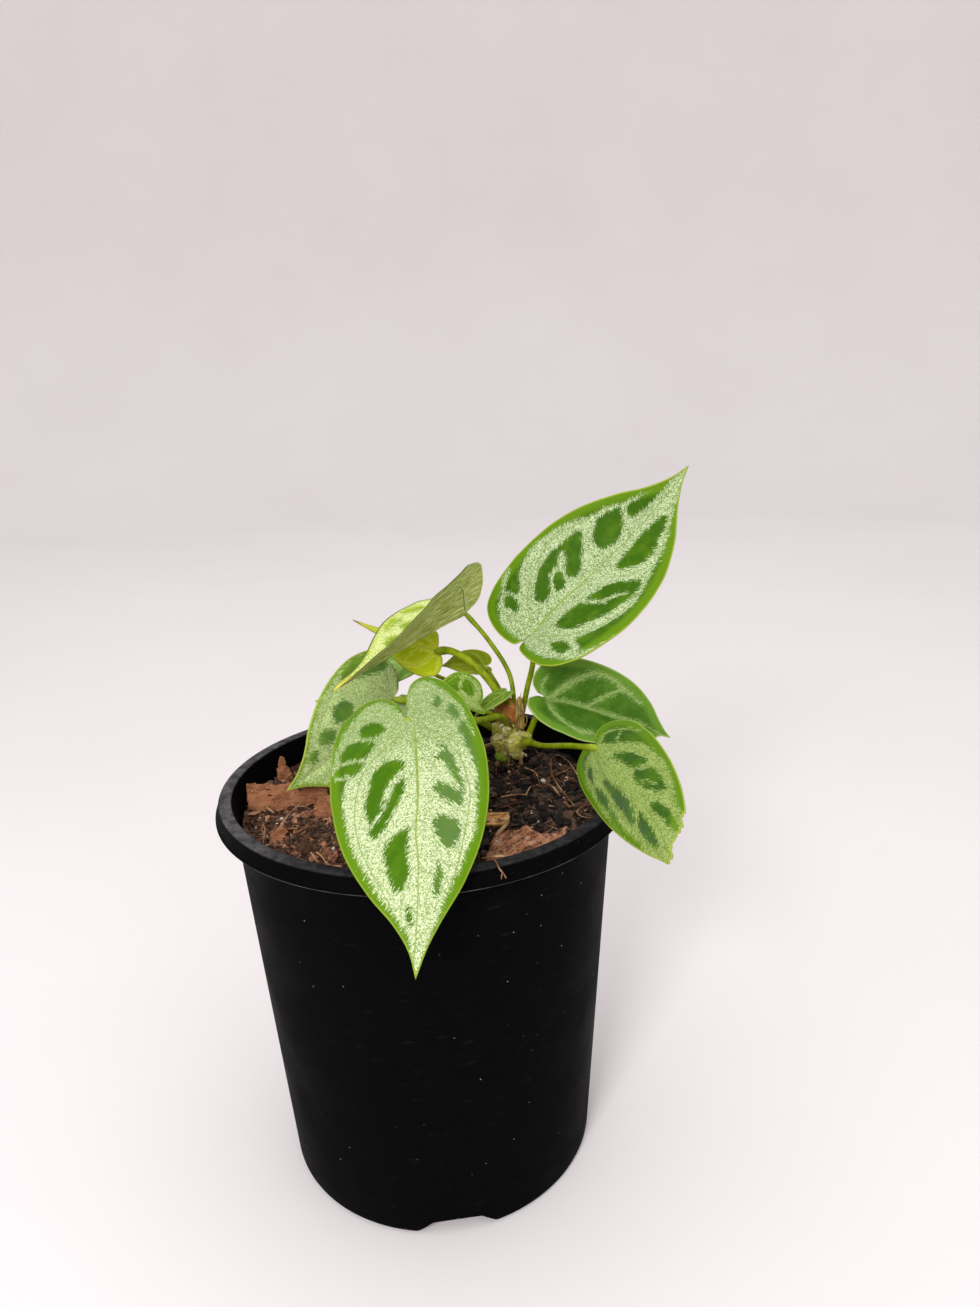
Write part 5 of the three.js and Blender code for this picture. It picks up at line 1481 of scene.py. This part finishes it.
# %% Raised veins of a blade
def rib_lines(blade, lines, outline, puff, seed):
    """The raised veins of both faces, as lines and radii for tubes."""
    ribs = []
    size = min(1.0, 0.45 + blade["length"] / 150)
    closed = np.vstack([outline, outline[:1]])
    for line_name, line in lines.items():
        tapered = np.linspace(1, 0.35, len(line))
        main = 1.0 if line_name == "midrib" else 0.7 if "basal" in line_name else 0.45
        edge_here = inside_by(line[:, 0], line[:, 1], closed)
        kept = edge_here > RIB_STOPS
        if kept.sum() < 3:
            continue
        line, tapered, edge_here = line[kept], tapered[kept], edge_here[kept]
        on, out = bend_blade(blade, line[:, 0], line[:, 1])
        wave = margin_wave(blade, line[:, 0], line[:, 1], edge_here, seed)
        level = (wave - 0.5 * puff)[:, None]
        upper_radius = RIB_ABOVE * main ** 0.5 * tapered * size
        lower_radius = RIB_BELOW * main * tapered * size
        if main > 0.5:
            above = level + BLADE_THICKNESS / 2 - 0.6 * upper_radius[:, None]
            ribs.append((on + out * above, upper_radius))
        below = level - BLADE_THICKNESS / 2 + 0.3 * lower_radius[:, None]
        ribs.append((on + out * below, lower_radius))
    return ribs


# %% One blade from its numbers
def make_blade(name, seed):
    blade = LEAVES[name]
    kind, colours, options = LOOKS[name]
    count, rings = next(sizes for longer, *sizes in FAN_SIZES if blade["length"] > longer)
    outline = flat_outline(blade, count)
    mesh = make_fan("blade_" + name, outline, rings)
    flat = places_of(mesh)
    x, y = flat[:, 0], flat[:, 1]
    bands = {**(BANDS.get(name) or usual_bands(blade)), **OVERLAYS.get(name, {})}
    lines = {n: smooth_flat(b, 5) for n, b in bands.items()}
    edge = -far_from(x, y, outline)
    near_vein = -np.max([far_from(x, y, line[:, :2]) for line in lines.values()], axis=0)
    silver = in_field(x, y, edge, FIELDS[name], bands) if name in FIELDS else in_bands(x, y, bands.values())
    paint(mesh, "silver", np.clip(silver, -8, 8))
    paint(mesh, "edge", edge)
    paint(mesh, "vein", near_vein)
    main = [line for n, line in lines.items() if n == "midrib" or n.startswith("basal")]
    paint(mesh, "main_vein", -np.max([far_from(x, y, line[:, :2]) for line in main], axis=0))
    paint(mesh, "ray", y - RAY_SLOPE * np.abs(x) - RAY_CURVE * x * x)
    place, normal = bend_blade(blade, x, y)
    puff = PUFF[kind] * (1 - np.exp(-(near_vein / 2.2) ** 2)) * np.clip(edge / 2, 0, 1)
    lift = puff - 0.5 * PUFF[kind] + margin_wave(blade, x, y, edge, seed)
    set_places(mesh, place + normal * lift[:, None])

    upper = upper_finish("upper_" + name, *colours, **options)
    if name == "left_folded":
        lower = lower_finish("lower_" + name, (200, 213, 110), (172, 189, 78), (232, 238, 168),
                             streaks_along=True, tip=options["tip"])
    else:
        lower = lower_finish("lower_" + name, (172, 184, 112), (138, 154, 82), (196, 204, 136))
    for finish in (upper, lower):
        mesh.materials.append(finish)
    solid = applied(mesh, "blade_" + name, ("SOLIDIFY", {
        "thickness": BLADE_THICKNESS * MM, "offset": 0, "material_offset": 1, "use_even_offset": True}))

    rib_mesh = tubes("ribs_" + name, rib_lines(blade, lines, outline, PUFF[kind], seed), 1)
    rib_mesh.materials.append(vein_green)

    piece = place_piece("blade_" + name + "_leaf", solid, ["blade_" + name])
    holder = put("ribs_" + name, rib_mesh)
    with bpy.context.temp_override(active_object=piece, selected_editable_objects=[piece, holder]):
        bpy.ops.object.join()
    print(name, "faces:", len(piece.data.polygons))


# %% Make the eleven blades
for seed, name in enumerate(LEAVES):
    make_blade(name, 30 + seed)

# %% [markdown]
# ## Stalks
# A leaf stalk is round and smooth, thicker where it clasps the crown, and it has a paler swollen
# joint just under the blade, which is what turns the blade to the light. Each is a tube along the
# CAD's own line, whose radius swells at both ends; the joint is painted by its share of the way.

# %% Stalk maker
stalk_skin, tree, stalk_place = new_finish("stalk_skin", Roughness=0.42, Specular_IOR_Level=0.1,
                                           Subsurface_Weight=0.06, Subsurface_Scale=0.5 * MM)
way_up = attribute(tree, "way")
flow = grain(tree, stalk_place, 3.2, 3)
fleck = grain(tree, stalk_place, 0.7, 3, 0.65)
skin = layer(tree, (104, 124, 4), (138, 154, 20), flow, 0.35, 0.65)
skin = layer(tree, skin, (150, 168, 48), way_up, 0.88, 0.96, 0.0, 0.8)
skin = layer(tree, skin, (140, 124, 58), way_up, 0.16, 0.02, 0.0, 0.6)
skin = layer(tree, skin, (160, 172, 84), fleck, 0.6, 0.75, 0.0, 0.35)
wear(tree, skin, None, plus(tree, flow, fleck), 0.12)

JOINT_SWELL, JOINT_BELOW, JOINT_LENGTH = 0.22, 3.2, 2.6
STALK_FLARES = {"right_lower": (1.7, 7.0), "right_middle": (0.8, 5.0)}  # growth at the foot, and its length


def make_stalk(name):
    radius, path = LEAVES[name]["stalk"]
    line, _ = through([*path, LEAVES[name]["at"]], 10)
    gaps = np.linalg.norm(np.diff(line, axis=0), axis=1)
    far = np.concatenate([[0], np.cumsum(gaps)])
    to_end = far[-1] - far
    flare, flare_length = STALK_FLARES.get(name, (0.55, 4.5))
    swell = 1 + flare * np.exp(-(far / flare_length) ** 2)
    swell += JOINT_SWELL * np.exp(-((to_end - JOINT_BELOW) / JOINT_LENGTH) ** 2)
    neck = 1 - 0.25 * np.exp(-(to_end / 0.9) ** 2)
    mesh = tubes("stalk_" + name, [(line, radius * swell * neck)], 4)
    near = np.argmin(((places_of(mesh)[:, None] - line[None]) ** 2).sum(-1), axis=1)
    paint(mesh, "way", (far / far[-1])[near])
    place_piece("stalk_" + name + "_tube", mesh, ["stalk_" + name], [stalk_skin])
    return far[-1]


for name in LEAVES:
    print("stalk", name, "mm long:", round(float(make_stalk(name)), 1))

# %% [markdown]
# ## Dry sheaths
# Each young leaf comes out of a thin sheath that dries to a red-brown paper and then frays to tan
# fibres. A sheath is a small pointed blade, so it is made as the blades are, only thinner and with
# a ragged edge, and its finish has long streaks instead of veins.

# %% Sheaths
SHEATH_THICKNESS = 0.24
SHEATHS = {
    "papery_sheath": leaf((29.4, 29, 152.6), 20, 80, 8, 11.5, (7.6, 5.4), (2.4, 2.4), 6, 0,
                          (-10, -10), (-45, -45), -28, 0, shape=BRACT),
    "fibrous_sheath": leaf((34.6, 27.2, 149.6), 20, 80, 2, 12.5, (2.6, 2.8), (1.2, 1.2), 4, 0,
                           (-8, -8), (-55, -55), 0, 0, shape=BRACT),
}


def sheath_finish(name, dark, main, light):
    material, tree, place = new_finish(name, Roughness=0.62, Specular_IOR_Level=0.35)
    streak = grain(tree, place, 0.9, 4, 0.6, stretch=(1.6, 1.6, 0.28))
    blotch = grain(tree, place, 3.2, 3)
    colour = layer(tree, dark, main, streak, 0.36, 0.62)
    colour = layer(tree, colour, light, blotch, 0.52, 0.7, 0.0, 0.8)
    wear(tree, colour, None, streak, 0.35)
    return material


SHEATH_FINISHES = {
    "papery_sheath": sheath_finish("red_paper", (128, 70, 20), (170, 106, 42), (188, 128, 66)),
    "fibrous_sheath": sheath_finish("tan_fibre", (104, 78, 32), (178, 148, 76), (226, 212, 150)),
}
for seed, (name, sheath) in enumerate(SHEATHS.items()):
    mesh = make_fan(name, flat_outline(sheath, 90, ragged=0.22, seed=60 + seed), 18)
    flat = places_of(mesh)
    place, normal = bend_blade(sheath, flat[:, 0], flat[:, 1])
    crinkle = np.array([0.35 * rough(p * np.array((1.2, 1.2, 0.4)), 2.0, 70 + seed) for p in place])
    set_places(mesh, place + normal * crinkle[:, None])
    mesh.materials.append(SHEATH_FINISHES[name])
    solid = applied(mesh, name + "_paper", ("SOLIDIFY", {"thickness": SHEATH_THICKNESS * MM, "offset": 0}))
    place_piece(name + "_paper", solid, [name])
    print(name, "faces:", len(solid.polygons))

# %% [markdown]
# Loose fibres stand up along the tan sheath, where the tissue between its veins has rotted away.

# %% Sheath fibres
FIBRE_PATHS = [
    [(34.4, 27.6, 148.5), (35.0, 27.2, 153.5), (35.4, 27.2, 158.6), (35.9, 27.4, 162.8)],
    [(35.2, 27.8, 148.5), (36.0, 27.6, 153.0), (35.6, 27.8, 157.4), (36.8, 28.2, 161.4)],
    [(33.8, 27.4, 149.0), (34.0, 26.8, 152.6), (34.6, 26.6, 155.8), (34.2, 26.2, 158.2)],
    [(35.8, 28.4, 149.0), (36.8, 28.2, 152.2), (36.6, 28.0, 155.0), (37.4, 27.8, 156.6)],
    [(32.6, 27.0, 149.8), (32.0, 26.4, 151.4), (31.2, 25.8, 152.2), (30.6, 25.2, 151.6)],
    [(36.2, 29.0, 147.0), (37.6, 28.6, 149.6), (38.0, 28.4, 151.8), (37.6, 28.2, 153.6)],
]
fibre_mesh = tubes("sheath_fibres", [strand(points, 6, 0.34, 1.1, 0.8) for points in FIBRE_PATHS], 1)
place_piece("sheath_fibres", fibre_mesh, [], [SHEATH_FINISHES["fibrous_sheath"]])
